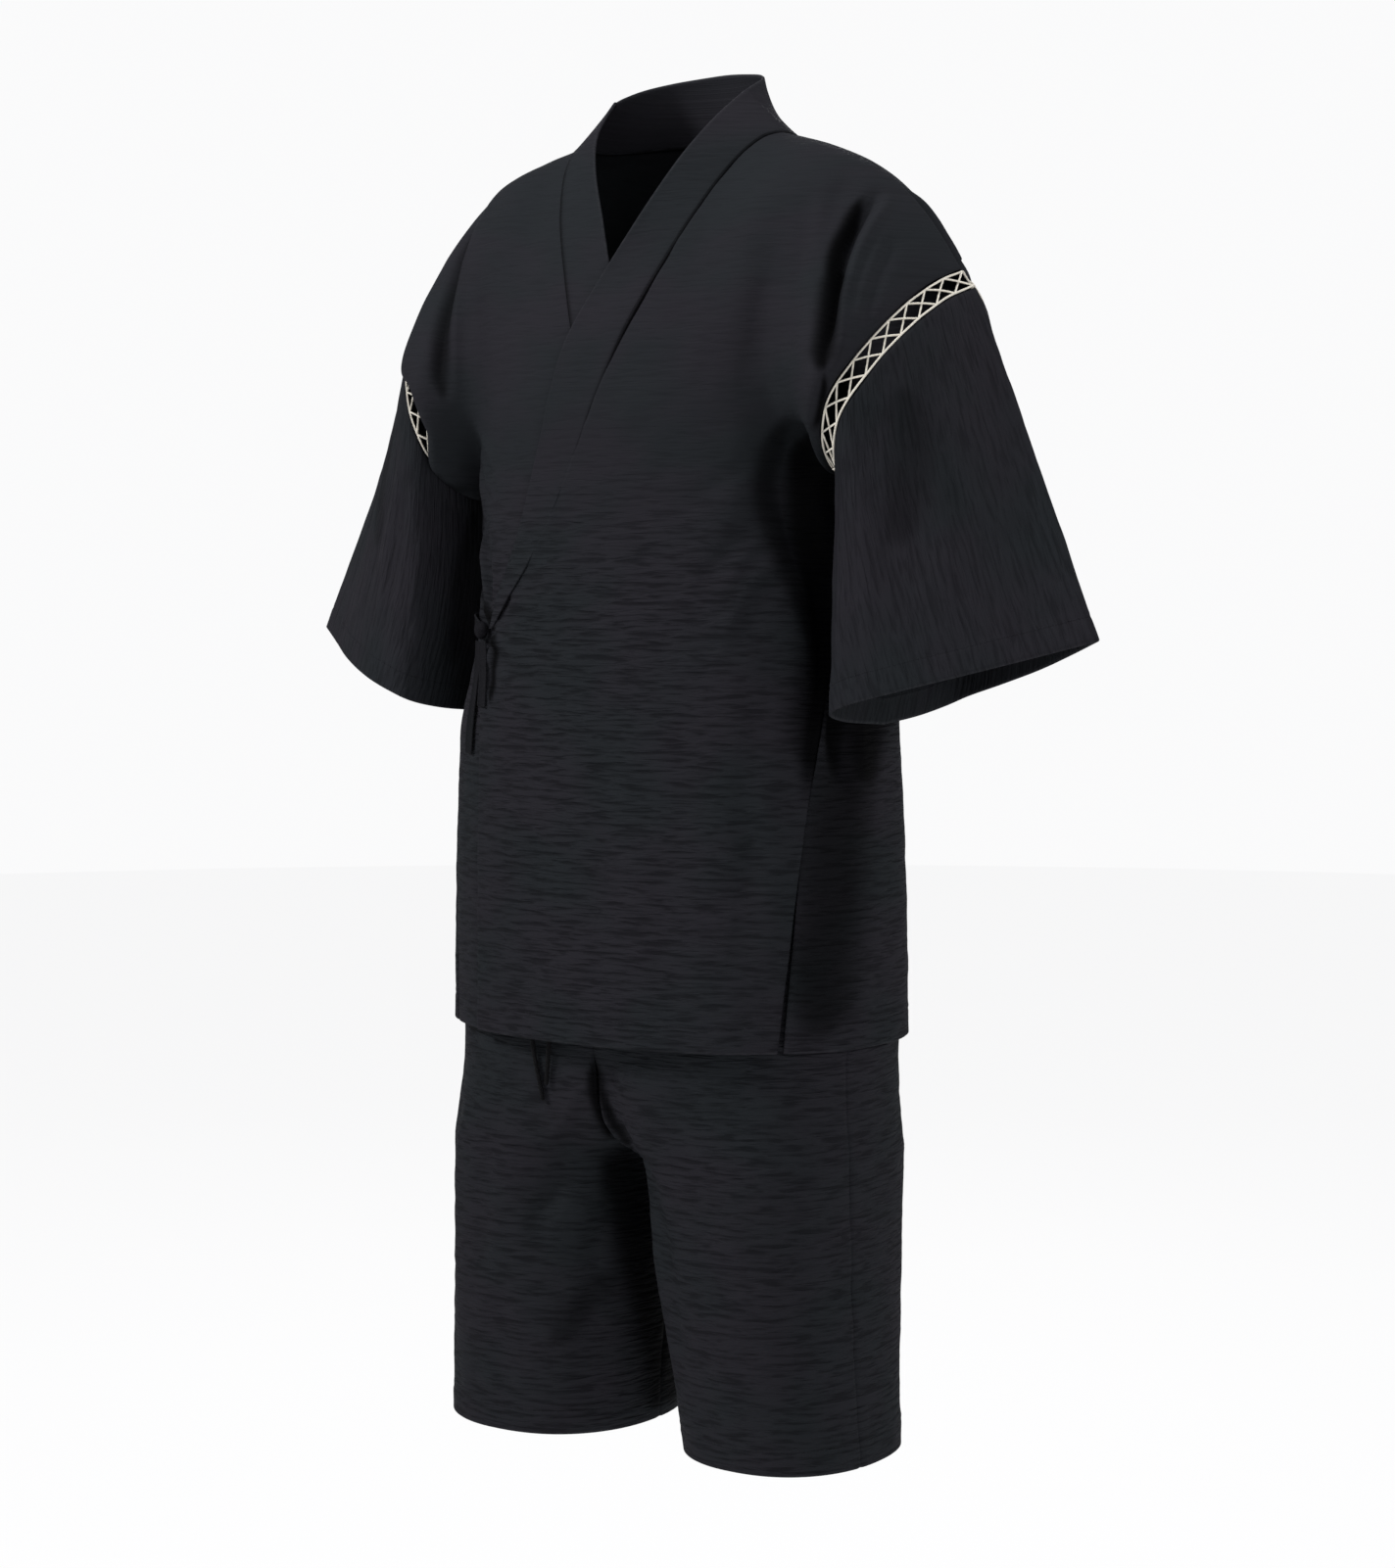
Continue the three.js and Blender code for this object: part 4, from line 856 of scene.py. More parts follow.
def panel(name, grid, hint, seams, hems, folds, seed, closed=False, lift=0.0, fade=1.0):
    """One cut piece of cloth: its creases and crepe, a groove at each seam and a doubled band at each hem.

    Seams and hems name borders: top, bottom, first and last. Folds are the tables of creases and of painted
    shade.
    The crepe's ridges run level on the body, and along a sleeve, where the grid is closed. Lift is how far
    out the cloth lies, and fade is less than 1 where its creases end.
    """
    outward = hint(grid)
    normal = grid_normals(grid, outward, closed)
    across, down = spans(grid, 1), spans(grid, 0)
    edges = {
        "first": across,
        "last": across[:, -1:] - across,
        "top": down,
        "bottom": down[-1:] - down,
    }
    run, rise = (down, across) if closed else (across, grid[..., 2])
    calm = 0.6 if closed else crepe_calm(grid[..., 2])
    height = calm * crepe_height(run, rise, seed)
    creases, hollows = folds
    height = (height + crease_height(creases, grid, normal)) * fade
    # Painted shade: how much the cloth's colour is darkened in its deepest folds
    painted_shade = painted_shade_share(hollows, grid, normal)
    for border in seams + hems:
        height = height * mix(0.25, 1, ease(0, BORDER_CALM, edges[border]))
    for border in seams:
        height = height - SEAM_GROOVE * np.exp(-((edges[border] / SEAM_HALF) ** 2))
    thickness = np.full(grid.shape[:2], CLOTH)
    stitch_away = np.full(grid.shape[:2], FAR)
    stitch_along = across
    edge_away = np.full(grid.shape[:2], FAR)
    for border in hems:
        away = edges[border]
        thickness += HEM_WALL * ease(HEM_DEPTH + 1.5, HEM_DEPTH - 0.5, away)
        height = height - STITCH_SINK * np.exp(-(((away - HEM_STITCH) / STITCH_HALF) ** 2))
        waves = noise(across / 16, down / 16, seed + 30)
        height = height + HEM_WAVE * ease(0.2, 1, away / HEM_DEPTH) * waves
        closer = np.abs(away - HEM_STITCH) < np.abs(stitch_away)
        stitch_away = np.where(closer, away - HEM_STITCH, stitch_away)
        stitch_along = np.where(closer, across if border in ("top", "bottom") else down, stitch_along)
        edge_away = np.minimum(edge_away, away)
    for border in seams:
        away = edges[border]
        closer = np.abs(away - 4) < np.abs(stitch_away)
        stitch_away = np.where(closer & (away < 12), FAR, stitch_away)
        edge_away = np.minimum(edge_away, away + 3)
    surface = grid + normal * (height + lift)[..., None]
    settled = grid_normals(surface, outward, closed)
    notes = notes_of((run, rise), (stitch_along, stitch_away, edge_away), calm, painted_shade)
    piece = shell(name, surface, settled, thickness, notes, closed)
    return piece, surface


def flat_size(surface, closed):
    """The width and length in metres that a piece is cut to, and its area."""
    if closed:
        surface = np.concatenate([surface, surface[:, :1]], axis=1)
    width, length = spans(surface, 1)[:, -1], spans(surface, 0)[-1]
    a, b, c, d = surface[:-1, :-1], surface[:-1, 1:], surface[1:, :-1], surface[1:, 1:]
    area = (lengths(np.cross(b - a, c - a)) / 2 + lengths(np.cross(b - d, c - d)) / 2).sum()
    size = (float(width.max()) * MM, float(length.max()) * MM)
    return size, min(float(area) * MM * MM, size[0] * size[1])


def declare(piece, node, material):
    piece.data.materials.append(material)
    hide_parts(node)
    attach(piece, "root")


def declare_cloth(piece, surface, node, closed=False):
    size, area = flat_size(surface, closed)
    declare(piece, node, crepe)


# Materials
class Nodes:
    """A material's node tree, with short calls to add and join nodes."""

    def __init__(self, name):
        self.material = bpy.data.materials.new(name)
        self.material.use_nodes = True
        self.tree = self.material.node_tree
        self.shader = self.tree.nodes["Principled BSDF"]

    def add(self, kind, inputs=(), **settings):
        node = self.tree.nodes.new(kind)
        for key, value in settings.items():
            setattr(node, key, value)
        for key, value in dict(inputs).items():
            self.join(value, node.inputs[key])
        return node

    def join(self, value, socket):
        if isinstance(value, bpy.types.NodeSocket):
            self.tree.links.new(value, socket)
        else:
            socket.default_value = value

    def set(self, **inputs):
        for key, value in inputs.items():
            self.join(value, self.shader.inputs[key.replace("_", " ")])

    def math(self, operation, a, b=0.0):
        return self.add("ShaderNodeMath", {0: a, 1: b}, operation=operation).outputs[0]

    def scaled(self, vector, scale):
        return self.add("ShaderNodeMapping", {"Vector": vector, "Scale": scale}).outputs[0]

    def noise(self, vector, detail=2.0, distortion=0.0):
        inputs = {"Vector": vector, "Scale": 1.0, "Detail": detail, "Distortion": distortion}
        return self.add("ShaderNodeTexNoise", inputs).outputs["Fac"]

    def bands(self, vector, scale, direction):
        inputs = {"Vector": vector, "Scale": scale}
        return self.add("ShaderNodeTexWave", inputs, bands_direction=direction).outputs["Fac"]

    def bump(self, height, strength, distance, under=None):
        inputs = {"Height": height, "Strength": strength, "Distance": distance}
        if under is not None:
            inputs["Normal"] = under
        return self.add("ShaderNodeBump", inputs).outputs[0]

    def attribute(self, name):
        return self.add("ShaderNodeAttribute", attribute_name=name).outputs["Vector"]

    def parts(self, vector):
        return self.add("ShaderNodeSeparateXYZ", {0: vector}).outputs

    def between(self, value, low, high):
        inputs = {"Value": value, "From Min": low, "From Max": high}
        return self.add("ShaderNodeMapRange", inputs, interpolation_type="SMOOTHSTEP").outputs[0]

    def mixed(self, factor, first, second):
        node = self.add("ShaderNodeMix", data_type="RGBA")
        self.join(factor, node.inputs[0])
        self.join(first, node.inputs[6])
        self.join(second, node.inputs[7])
        return node.outputs[2]

    def colours(self, factor, first, second):
        return self.mixed(factor, (*first, 1), (*second, 1))


def crepe_material():
    """Black crinkled crepe: threads, drawn-out ridges, worn edges, rows of stitches, painted shade between
    the ridges and painted shade in deep folds.
    """
    nodes = Nodes("black_crepe")
    cloth = nodes.attribute("cloth")
    along, away, edge = nodes.parts(nodes.attribute("stitch"))
    strength, painted_shade, _ = nodes.parts(nodes.attribute("form"))
    ridges = nodes.noise(nodes.scaled(cloth, (36, 300, 0)), 2.0, 0.35)
    fine = nodes.noise(nodes.scaled(cloth, (130, 900, 0)), 2.0, 0.3)
    weave = nodes.math("MULTIPLY", nodes.bands(cloth, 420.0, "Y"), nodes.bands(cloth, 520.0, "X"))
    row = nodes.between(nodes.math("ABSOLUTE", away), 0.0006, 0.0002)
    dash = nodes.between(nodes.math("PINGPONG", along, 0.0016), 0.0003, 0.0006)
    thread = nodes.math("MULTIPLY", row, dash)
    broad = nodes.noise(nodes.scaled(cloth, (9, 11, 0)), 3.0, 0.2)
    violet, blue = (0.0162, 0.0155, 0.0193), (0.0135, 0.0153, 0.0177)
    shade = nodes.colours(nodes.between(broad, 0.35, 0.65), violet, blue)
    worn = nodes.math("MULTIPLY", nodes.between(edge, 0.0016, 0.0), nodes.between(fine, 0.35, 0.65))
    shade = nodes.mixed(nodes.math("MULTIPLY", worn, 0.35), shade, (0.036, 0.036, 0.041, 1))
    # Painted shade in the troughs of the crepe: darker where its ridges are low
    line = nodes.math("MULTIPLY", nodes.between(ridges, 0.52, 0.32), strength)
    shade = nodes.mixed(nodes.math("MULTIPLY", line, 0.45), shade, (0.001, 0.001, 0.0015, 1))
    # Painted shade, near black, where the form's second value is high: deep folds, the collar's seam and the
    # ties
    shade = nodes.mixed(nodes.math("MULTIPLY", painted_shade, 0.92), shade, (0.0004, 0.0004, 0.0005, 1))
    rough = nodes.add("ShaderNodeMapRange", {"Value": ridges, "To Min": 0.74, "To Max": 0.88}).outputs[0]
    swell = nodes.math("MULTIPLY", nodes.between(ridges, 0.28, 0.66), strength)
    bump = nodes.bump(swell, 1.0, 0.0014)
    for height, amount, size in ((fine, 0.5, 0.0004), (weave, 0.3, 0.0002), (thread, 0.8, 0.0006)):
        bump = nodes.bump(height, amount, size, bump)
    nodes.set(Base_Color=shade, Roughness=rough, Normal=bump, Sheen_Roughness=0.4)
    nodes.set(Sheen_Weight=0.005, Sheen_Tint=(0.56, 0.58, 0.7, 1), Specular_IOR_Level=0.03)
    return nodes.material


def cord_material(name, dark, light, pitch, sheen, shine):
    """Twisted cord: slanting plies, colour between two tones."""
    nodes = Nodes(name)
    cloth = nodes.attribute("cloth")
    slant = nodes.add("ShaderNodeMapping", {"Vector": cloth, "Rotation": (0, 0, math.radians(38))}).outputs[0]
    waves = {"Vector": slant, "Scale": 0.314 / pitch, "Distortion": 0.8}
    plies = nodes.add("ShaderNodeTexWave", waves).outputs["Fac"]
    fuzz = nodes.noise(nodes.scaled(cloth, (900, 900, 1)), 3.0)
    tone = nodes.math("MULTIPLY", nodes.between(plies, 0.1, 0.8), nodes.between(fuzz, 0.2, 0.6))
    bump = nodes.bump(fuzz, 0.3, 0.0003, nodes.bump(plies, 0.7, 0.0005))
    nodes.set(Base_Color=nodes.colours(tone, dark, light), Normal=bump)
    nodes.set(Roughness=0.8, Sheen_Weight=sheen, Sheen_Roughness=0.5, Specular_IOR_Level=shine)
    return nodes.material


def floor_material():
    """A floor that glows evenly, so that it stays as pale as the world behind it."""
    nodes = Nodes("floor")
    spot = nodes.add("ShaderNodeTexCoord").outputs["Object"]
    grain = nodes.noise(nodes.scaled(spot, (1.5, 1.5, 1.5)), 4.0)
    nodes.set(Base_Color=nodes.colours(grain, (0.06, 0.06, 0.06), (0.07, 0.07, 0.069)), Roughness=0.9)
    nodes.set(Emission_Color=(0.96, 0.96, 0.965, 1), Emission_Strength=0.93)
    return nodes.material


crepe = crepe_material()
lace_cord = cord_material("cream_cord", (0.7, 0.64, 0.53), (0.93, 0.9, 0.83), 0.0011, 0.3, 0.4)
black_cord = cord_material("black_cord", (0.0016, 0.0016, 0.002), (0.005, 0.005, 0.006), 0.0012, 0.01, 0.08)


# The drawstring's two free ends come first, each along its route
def drawstring(side):
    route = smooth_path(DRAWSTRING[side], 9)
    radius = np.full(len(route), DRAWSTRING_DIAMETER / MM / 2) * 0.93
    for station, share in DRAWSTRING_ENDS.items():
        radius[station] *= share
    piece = sweep(f"drawstring_{side}_cord", [(route / MM, radius)], sides=16)
    declare(piece, f"drawstring_{side}", black_cord)


for drawstring_side in SIDES.values():
    drawstring(drawstring_side)


# Shirt
def from_axis(grid):
    """Outward from the body's axis, and up near the shoulders."""
    up = ease(-200, 0, grid[..., 2]) * 90
    return np.stack([grid[..., 0] * 0.7, grid[..., 1], up], -1)


LEVELS = np.concatenate([np.linspace(0, 1, 176), np.linspace(1, 2, 96)[1:]])[:, None]
VENT = np.clip(1 - LEVELS / level_of(VENT_Z), 0, 1)
SIDE_ANGLE = column(SIDE_SEAM, "angle", height_of(LEVELS))


def near_armhole(turn, level):
    """Less than 1 where the cloth nears the lace, so that its creases end there."""
    away = np.abs(90 - np.abs(turn))
    return mix(1, ease(0.2, 9, away), ease(0.96, 1.02, level))


def over_lace(grid, normal):
    """Two stretches of the right front, above and below a gap, bulge out over the lace beside them."""
    height = grid[..., 2]
    upper = 0.8 * np.exp(-(((height + 158) / 16) ** 2))
    lower = ease(-214, -232, height) * ease(-330, -262, height)
    share = (upper + lower) * np.linspace(0, 1, grid.shape[1]) ** 5
    across = SLEEVE_DIRECTION * [-1, 1, 1]
    over = grid + across * (LACE_COVER * share)[..., None]
    return over + normal * (LACE_CLEAR * share ** 0.5)[..., None]


def front_panel(sign):
    side = SIDES[sign]
    start = turn_at(front_start(side, LEVELS), LEVELS)
    seam = np.where(LEVELS >= 1, 90, SIDE_ANGLE - VENT * VENT_TURN)
    turn = mix(start, sign * seam, np.linspace(0, 1, 116)[None, :])
    grid = body(turn, LEVELS)
    normal = grid_normals(grid, from_axis(grid))
    if sign > 0:
        grid = grid + normal * wrap_lift(grid)[..., None]
    else:
        grid = over_lace(grid, normal)
    piece, surface = panel(
        f"front_{side}", grid[::-1], from_axis, ["last"], ["bottom"], (SHIRT_CREASES, SHIRT_PAINTED_SHADE),
        seed=SEEDS[f"front_{side}"], fade=near_armhole(turn, LEVELS)[::-1],
    )
    declare_cloth(piece, surface, f"shirt_front_{side}")


def back_panel(sign):
    side = SIDES[sign]
    seam = np.where(LEVELS >= 1, 90.001, SIDE_ANGLE + VENT * VENT_TURN)
    turn = mix(seam, 180.0, np.linspace(0, 1, 92)[None, :])
    crest = ARMHOLE["x"][-1] * power(np.maximum(0, sine(180 - turn)), 2 / SECTION)
    nape = 90 + NAPE_ROLL * np.sqrt(np.maximum(0, 1 - (crest / NECK_HALF) ** 2))
    level = np.where(LEVELS <= 1, LEVELS, 1 + (LEVELS - 1) * (2 - nape / 90))
    grid = body(sign * turn, level)
    grid[:, -1, 0] = 0
    piece, surface = panel(
        f"back_{side}", grid[::-1], from_axis, ["first", "last"], ["bottom"],
        (SHIRT_CREASES, SHIRT_PAINTED_SHADE + BACK_PAINTED_SHADE),
        seed=SEEDS[f"back_{side}"], fade=near_armhole(turn, LEVELS)[::-1],
    )
    declare_cloth(piece, surface, f"shirt_back_{side}")


COLLAR_COLUMNS = np.array([0, 0.3, 0.65, 1])    # across the collar, from its seam to its free edge
COLLAR_HEIGHTS = np.array([COLLAR_END_Z, -338, -312, -282, -246, -215])
COLLAR_ROLLS = np.array([10, 22, 34, 48, 62, 76, 90])
COLLAR_NAPE_X = (88, 78, 60, 38, 16)
COLLAR_BACK = 130       # the roll of the collar's free edge at the middle of the nape
COLLAR_STEPS = 14       # rows of points from one station to the next
COLLAR_ACROSS = 28      # points in a row


def free_edge(side, roll):
    rows = COLLAR_LEFT if side == "left" else COLLAR_RIGHT
    return np.array([column(rows, axis, roll) for axis in "xyz"])


def collar_stations(sign):
    """Rows of the collar from its lower end to the nape: four points each, from the seam to the free edge."""
    side = SIDES[sign]
    rows = []
    for level in [*level_of(COLLAR_HEIGHTS), *(1 + COLLAR_ROLLS / 90)]:
        roll = (level - 1) * 90
        seam_x = float(front_start(side, level))
        if roll > COLLAR_RISES:
            seam = body(turn_at(seam_x, level), level)
            rows.append(mix(seam, free_edge(side, roll), COLLAR_COLUMNS[:, None]))
            continue
        if level > 1:
            free_x = column(COLLAR_ON_CHEST, side, roll)
        else:
            free_x = column(FRONT_EDGE, side + "Free", height_of(level))
        rows.append(body(turn_at(mix(seam_x, free_x, COLLAR_COLUMNS), level), level))
    for x in COLLAR_NAPE_X:
        nape = 90 + NAPE_ROLL * math.sqrt(1 - (x / NECK_HALF) ** 2)
        turn = 180 - math.degrees(math.asin((x / ARMHOLE["x"][-1]) ** (SECTION / 2)))
        seam = body(sign * turn, 3 - nape / 90)
        free = free_edge(side, mix(COLLAR_BACK, 90, x / NECK_HALF))
        rows.append(mix(seam, free, COLLAR_COLUMNS[:, None]))
    return rows


def collar():
    """The collar in one piece, a single cloth where the fronts lap and a folded band above the crossing."""
    left, right = collar_stations(1), collar_stations(-1)
    seam = body(179.99, 3 - (90 + NAPE_ROLL) / 90)
    nape = mix(seam, free_edge("left", COLLAR_BACK), COLLAR_COLUMNS[:, None])
    stations = np.stack([*left, nape, *right[::-1]])
    along = smooth_path(stations.reshape(len(stations), -1), COLLAR_STEPS).reshape(-1, 4, 3)
    across = smooth_path(along.transpose(1, 0, 2).reshape(4, -1), 9).reshape(COLLAR_ACROSS, -1, 3)
    grid = across.transpose(1, 0, 2)
    share = np.linspace(0, 1, COLLAR_ACROSS)
    normal = grid_normals(grid, grid * [1, 1, 0])
    run = unit(grid[:, -1] - grid[:, 0])
    flat = ease(-236, -140, grid[:, :1, 2])
    gap = mix(-0.6, mix(0.8, -2.0, ease(-70, 20, grid[:, :1, 1])), flat)
    grid = grid + run[:, None] * (gap * (1 - share))[..., None]
    count = len(left) * COLLAR_STEPS
    lift = np.zeros(len(grid))
    lift[:count] = wrap_lift(grid[:count, 0])
    lift = np.convolve(np.pad(lift, 6, mode="edge"), np.ones(13) / 13, mode="valid")[:, None]
    fold = 0.45 * np.exp(-(((share - 0.04) / 0.05) ** 2)) + 0.35 * np.exp(-(((share - 0.95) / 0.05) ** 2))
    away, along = spans(grid, 1), spans(grid, 0)
    height = grid[..., 2]
    crepe_ridges = crepe_height(away, height, SEEDS["front_left"])
    calm = crepe_calm(height)
    rise = lift * mix(1 - 0.42 * share, 1, flat) + 0.3 * noise(along / 55, away / 30, SEEDS["collar"])
    rise = rise + flat * (0.5 - 0.5 * np.exp(-((share / 0.03) ** 2)))
    rise = rise + (1 - flat) * calm * crepe_ridges
    surface = grid + normal * rise[..., None]
    settled = grid_normals(surface, surface * [1, 1, 0])
    edge = np.minimum(away, away[:, -1:] - away) + 5 * (1 - flat)
    # Painted shade along the groove of the collar's seam, where the collar is a folded band
    seam = flat * (0.75 * np.exp(-((away / 1.5) ** 2)) + 0.25 * np.exp(-((away / 4) ** 2)))
    notes = notes_of((away, height), (along, away - 2.2 + 9 * (1 - flat), edge), calm, seam)
    thickness = mix(CLOTH, BAND + fold[None, :], flat)
    piece = shell("collar_band", surface, settled, thickness, notes)
    declare_cloth(piece, surface, "collar")


def from_ring(grid):
    """Outward from the middle of each ring of a sleeve."""
    return grid - grid.mean(axis=1, keepdims=True)


def sleeve(sign):
    name = f"sleeve_{SIDES[sign]}"
    t = np.linspace(0, 1, 92)[:, None]
    round_ = np.arange(150)[None, :] * (360 / 150)
    grid = sleeve_form(sign, round_ + 0 * t, t + 0 * round_)
    flip = np.array([sign, 1, 1])
    creases = [(spots * flip, width, depth, sign * lean) for spots, width, depth, lean in SLEEVE_CREASES]
    hollows = [(spots * flip, width, dark) for spots, width, dark in SLEEVE_PAINTED_SHADE]
    piece, surface = panel(
        name + "_cloth", grid, from_ring, ["top"], ["bottom"], (creases, hollows),
        seed=SEEDS[name], closed=True, fade=ease(0, 0.1, t),
    )
    declare_cloth(piece, surface, name, closed=True)


# Lace
def lace(sign, face):
    """Two edge cords and two zigzag cords that cross between them, along half of an armhole."""
    name = f"lace_{SIDES[sign]}_{face}"
    start, stop = (0.4, 179.6) if face == "front" else (359.6, 180.4)
    rounds = np.linspace(start, stop, 400)
    distance = spans(lace_edge(sign, rounds, np.full(400, 0.5))[None], 1)[0]
    length = distance[-1]
    pitch = length / LACE_PITCHES
    rim = LACE_WIDTH / 2 - 1

    def placed(along, offset, lift):
        round_ = np.interp(along, distance, rounds)
        share = (offset + LACE_WIDTH / 2 + LACE_GAP) / (LACE_WIDTH + 2 * LACE_GAP)
        return lace_edge(sign, round_, share) + lace_normal(sign, round_, share) * np.asarray(lift)[..., None]

    strands = []
    along = np.linspace(0, length, int(length / 1.1))
    for edge in (-1, 1):
        wander = 0.25 * noise(along / 14, along * 0 + edge, SEEDS["lace"])
        strands.append((placed(along, edge * rim + wander, 0 * along), np.full(len(along), LACE_CORD)))
    for phase in (0, 1):
        wave = (along / pitch + phase) % 2
        zigzag = 1 - 2 * np.abs(wave - 1)
        over = 0.72 * np.sin(math.pi * (along / pitch)) * (1 if phase else -1)
        strands.append((placed(along, zigzag * rim, over), np.full(len(along), LACE_CORD * 0.92)))
    declare(sweep(name + "_cords", strands, sides=6), name, lace_cord)


# Ties
def on_body(x, z, out):
    """The points at x and z on the body's front, moved out by a distance, and the normals there."""
    level = np.asarray(level_of(np.asarray(z, float)))
    turn = turn_at(np.asarray(x, float), level)
    point = body(turn, level)
    around = body(turn + 0.8, level) - body(turn - 0.8, level)
    upward = body(turn, level + 0.008) - body(turn, level - 0.008)
    normal = unit(np.cross(around, upward))
    normal = normal * np.where((normal * point * [1, 1, 0]).sum(-1) < 0, -1, 1)[..., None]
    return point + normal * np.asarray(out)[..., None], normal


def tie_strap(name, stations):
    route = smooth_path(stations, 10)
    centre, normal = on_body(route[:, 0], route[:, 1], route[:, 2])
    across = unit(np.cross(np.gradient(centre, axis=0), normal))
    share = np.linspace(-0.5, 0.5, 13)
    grid = centre[:, None] + across[:, None] * (share * TIE_WIDTH)[None, :, None]
    along = spans(grid, 0)
    cup = 0.5 * (4 * share**2)[None, :] * ease(0, 20, along)
    wave = 0.45 * np.sin(along / 11 + share[None, :] * 2)
    grid = grid + normal[:, None] * (cup + wave * 0.6)[..., None]
    settled = grid_normals(grid, np.broadcast_to(normal[:, None], grid.shape))
    away = (0.5 - np.abs(share))[None, :] * TIE_WIDTH + 0 * along
    # The whole strap is darkened with the value that paints shade into deep folds
    notes = notes_of((spans(grid, 1), along), (along, away - 1.6, away), 0.2, 0.55)
    thickness = TIE_WALL - 0.25 * np.exp(-(((away - 1.6) / 0.5) ** 2))
    piece = shell(name + "_cloth", grid, settled, thickness, notes)
    declare_cloth(piece, grid, name)


def tie_knot():
    """A flat knot: the strap wound twice round itself, as one closed form with grooves between the turns."""
    centre, _ = on_body(*TIE_KNOT)
    rows, cols = 40, 64
    lat = np.linspace(0.02, math.pi - 0.02, rows)[:, None]
    lon = np.arange(cols)[None, :] * 2 * math.pi / cols
    ring = np.stack([np.sin(lat) * np.cos(lon), np.sin(lat) * np.sin(lon), np.cos(lat) + 0 * lon], -1)
    band = np.abs(np.sin(1.5 * math.pi * (ring[..., 0] * 0.8 + ring[..., 2] * 0.5)))
    swell = 0.84 + 0.16 * band**0.5 + 0.02 * np.sin(lon * 5)
    points = ring * swell[..., None] * KNOT_HALVES
    level, tilted = cosine(KNOT_TILT), sine(KNOT_TILT)
    turned = points @ np.array([[level, tilted, 0], [-tilted, level, 0], [0, 0, 1]])
    ids = np.arange(rows * cols).reshape(rows, cols)
    nxt = np.roll(ids, -1, axis=1)
    faces = np.stack([ids[:-1], nxt[:-1], nxt[1:], ids[1:]], -1).reshape(-1, 4).tolist()
    faces += [ids[0].tolist(), ids[-1, ::-1].tolist()]
    # The whole knot is darkened with the value that paints shade into deep folds
    notes = notes_of((lon * 7, lat * 7), (FAR, FAR, FAR), 0.2, 0.6)
    piece = mesh_object("tie_knot_cloth", turned.reshape(-1, 3) + centre, faces, notes.items())
    face_out(piece)
    declare(piece, "tie_knot", crepe)


# Shorts
def shorts_panel(sign, face):
    name = f"shorts_{face}_{SIDES[sign]}"
    z = np.linspace(WAIST_TOP_Z - WAISTBAND_HEIGHT, SHORTS_HEM_Z, 172)[:, None]
    end = leg_end(sign, z) * (1 if face == "front" else -1)
    angle = mix(16.0, end, np.linspace(0, 1, 92)[None, :])
    grid = leg(sign, angle, z + 0 * angle)
    grid[..., 0] = sign * np.maximum(0.05, sign * grid[..., 0])
    gathers = 0.9 * np.sin(spans(grid, 1) / 2.3) * ease(40, 0, spans(grid, 0))
    piece, surface = panel(
        name + "_cloth", grid, lambda points: from_leg(sign, points), ["first", "last", "top"], ["bottom"],
        (SHORTS_CREASES, SHORTS_PAINTED_SHADE), seed=SEEDS[name], lift=gathers,
    )
    declare_cloth(piece, surface, name)


def waistband():
    round_ = np.linspace(0, 360, 421)[None, :-1]
    side = np.where((round_ < 90) | (round_ >= 270), 1, -1)
    angle = np.where(side > 0, np.where(round_ < 90, round_, round_ - 360), 180 - round_)
    base = WAIST_TOP_Z - WAISTBAND_HEIGHT
    left, right = leg_form(1, angle, base + 0.0 * angle), leg_form(-1, angle, base + 0.0 * angle)
    ring = np.where((side > 0)[..., None], left, right)
    z = np.linspace(WAIST_TOP_Z, base, 20)[:, None]
    grid = np.repeat(ring, len(z), axis=0)
    grid[..., 2] = z
    share = (z - base) / WAISTBAND_HEIGHT
    waves = np.sin(np.radians(round_ * 72) + 1.4 * noise(round_ / 9, 0 * round_, SEEDS["waistband"]))
    out = unit(grid * [1, 1.6, 0])
    puff = 0.9 * np.sin(math.pi * np.clip(share, 0, 1)) ** 0.5
    surface = grid + out * (0.75 * waves * (0.55 + 0.45 * puff) + 0.8 * puff)[..., None]
    settled = grid_normals(surface, grid * [1, 1, 0], closed=True)
    along, down = spans(surface, 1), spans(surface, 0)
    rows_of_stitches = np.abs(down - WAISTBAND_HEIGHT / 2) - 13
    notes = notes_of((along, down), (along, rows_of_stitches, np.minimum(down, 9)), 0.4)
    piece = shell("waistband_cloth", surface, settled, BAND, notes, closed=True)
    declare_cloth(piece, surface, "waistband", closed=True)


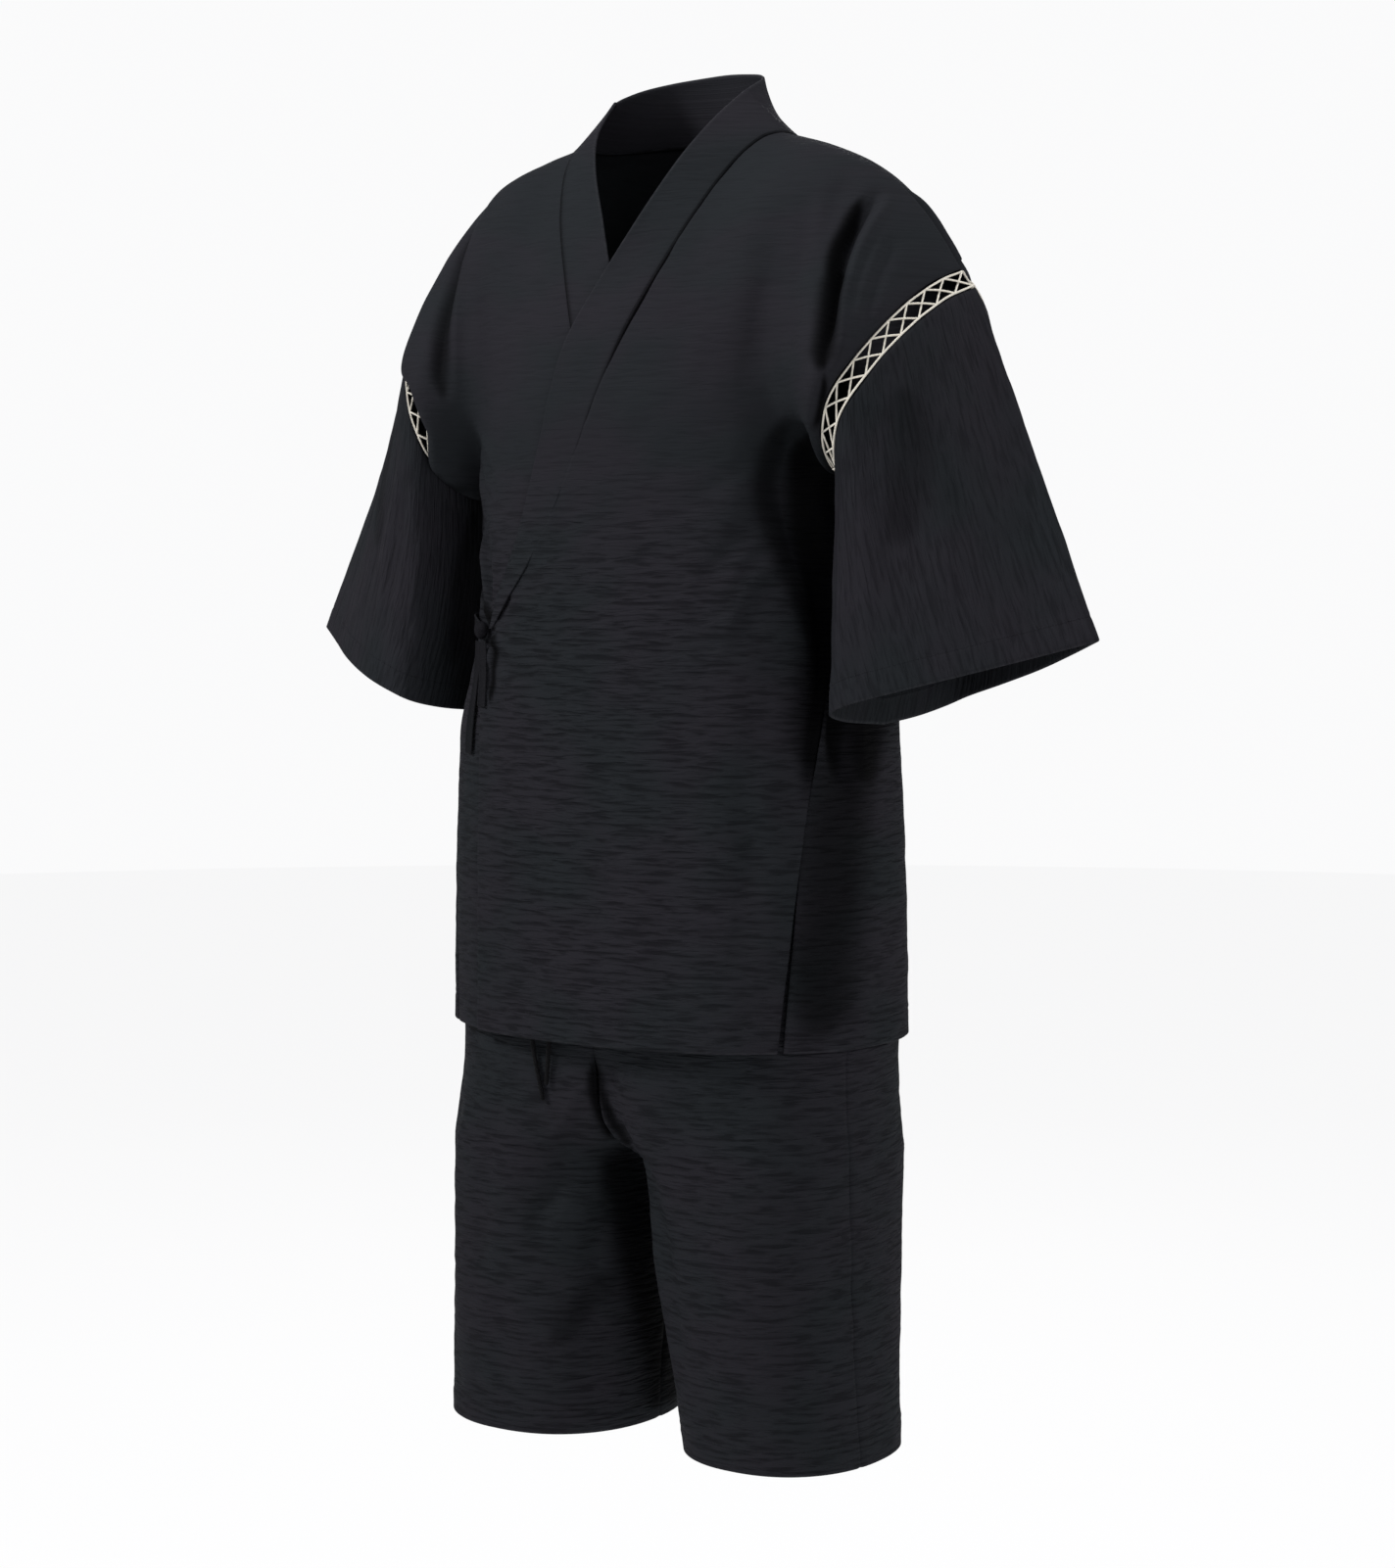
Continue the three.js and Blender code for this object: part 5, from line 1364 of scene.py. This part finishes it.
waistband()
for garment_side in SIDES:
    shorts_panel(garment_side, "front")
    shorts_panel(garment_side, "back")
    back_panel(garment_side)
    front_panel(garment_side)
collar()
for garment_side in SIDES:
    sleeve(garment_side)
    lace(garment_side, "front")
    lace(garment_side, "back")
for strap, strap_stations in TIE_STRAPS.items():
    tie_strap(strap, strap_stations)
tie_knot()


# Floor and light
def studio():
    """A plain pale floor, a soft even world and five round lamps that look at the garment's middle."""
    floor_z = -1.46
    aim = Vector((0, 0, -0.45))
    bpy.ops.mesh.primitive_circle_add(vertices=96, radius=9, fill_type="NGON", location=(0, 0, floor_z))
    floor = bpy.context.object
    floor.name = "floor"
    floor.data.materials.append(floor_material())
    world = bpy.data.worlds.new("studio")
    world.use_nodes = True
    tree = world.node_tree
    soft = tree.nodes["Background"]
    soft.inputs["Color"].default_value = (0.93, 0.93, 0.94, 1)
    soft.inputs["Strength"].default_value = 0.26
    bright = tree.nodes.new("ShaderNodeBackground")
    bright.inputs["Color"].default_value = (0.96, 0.96, 0.965, 1)
    seen = tree.nodes.new("ShaderNodeLightPath").outputs["Is Camera Ray"]
    choice = tree.nodes.new("ShaderNodeMixShader")
    tree.links.new(seen, choice.inputs[0])
    tree.links.new(soft.outputs[0], choice.inputs[1])
    tree.links.new(bright.outputs[0], choice.inputs[2])
    tree.links.new(choice.outputs[0], tree.nodes["World Output"].inputs["Surface"])
    bpy.context.scene.world = world
    lamps = (
        ("key", (-1.9, -2.2, 1.6), 0.9, 95),
        ("fill", (2.6, -1.9, 0.1), 1.8, 30),
        ("top", (0.3, -0.2, 2.3), 1.2, 40),
        ("rim", (2.4, 2.2, 0.9), 1.2, 34),
        ("back", (-1.6, 2.6, 0.9), 1.6, 26),
    )
    for name, place, size, watts in lamps:
        data = bpy.data.lights.new(name, "AREA")
        data.shape = "DISK"
        data.size = size
        data.energy = watts
        lamp = bpy.data.objects.new(name, data)
        lamp.location = place
        lamp.rotation_euler = (aim - Vector(place)).to_track_quat("-Z", "Y").to_euler()
        bpy.context.collection.objects.link(lamp)
    bpy.context.scene.view_settings.view_transform = "Standard"


studio()
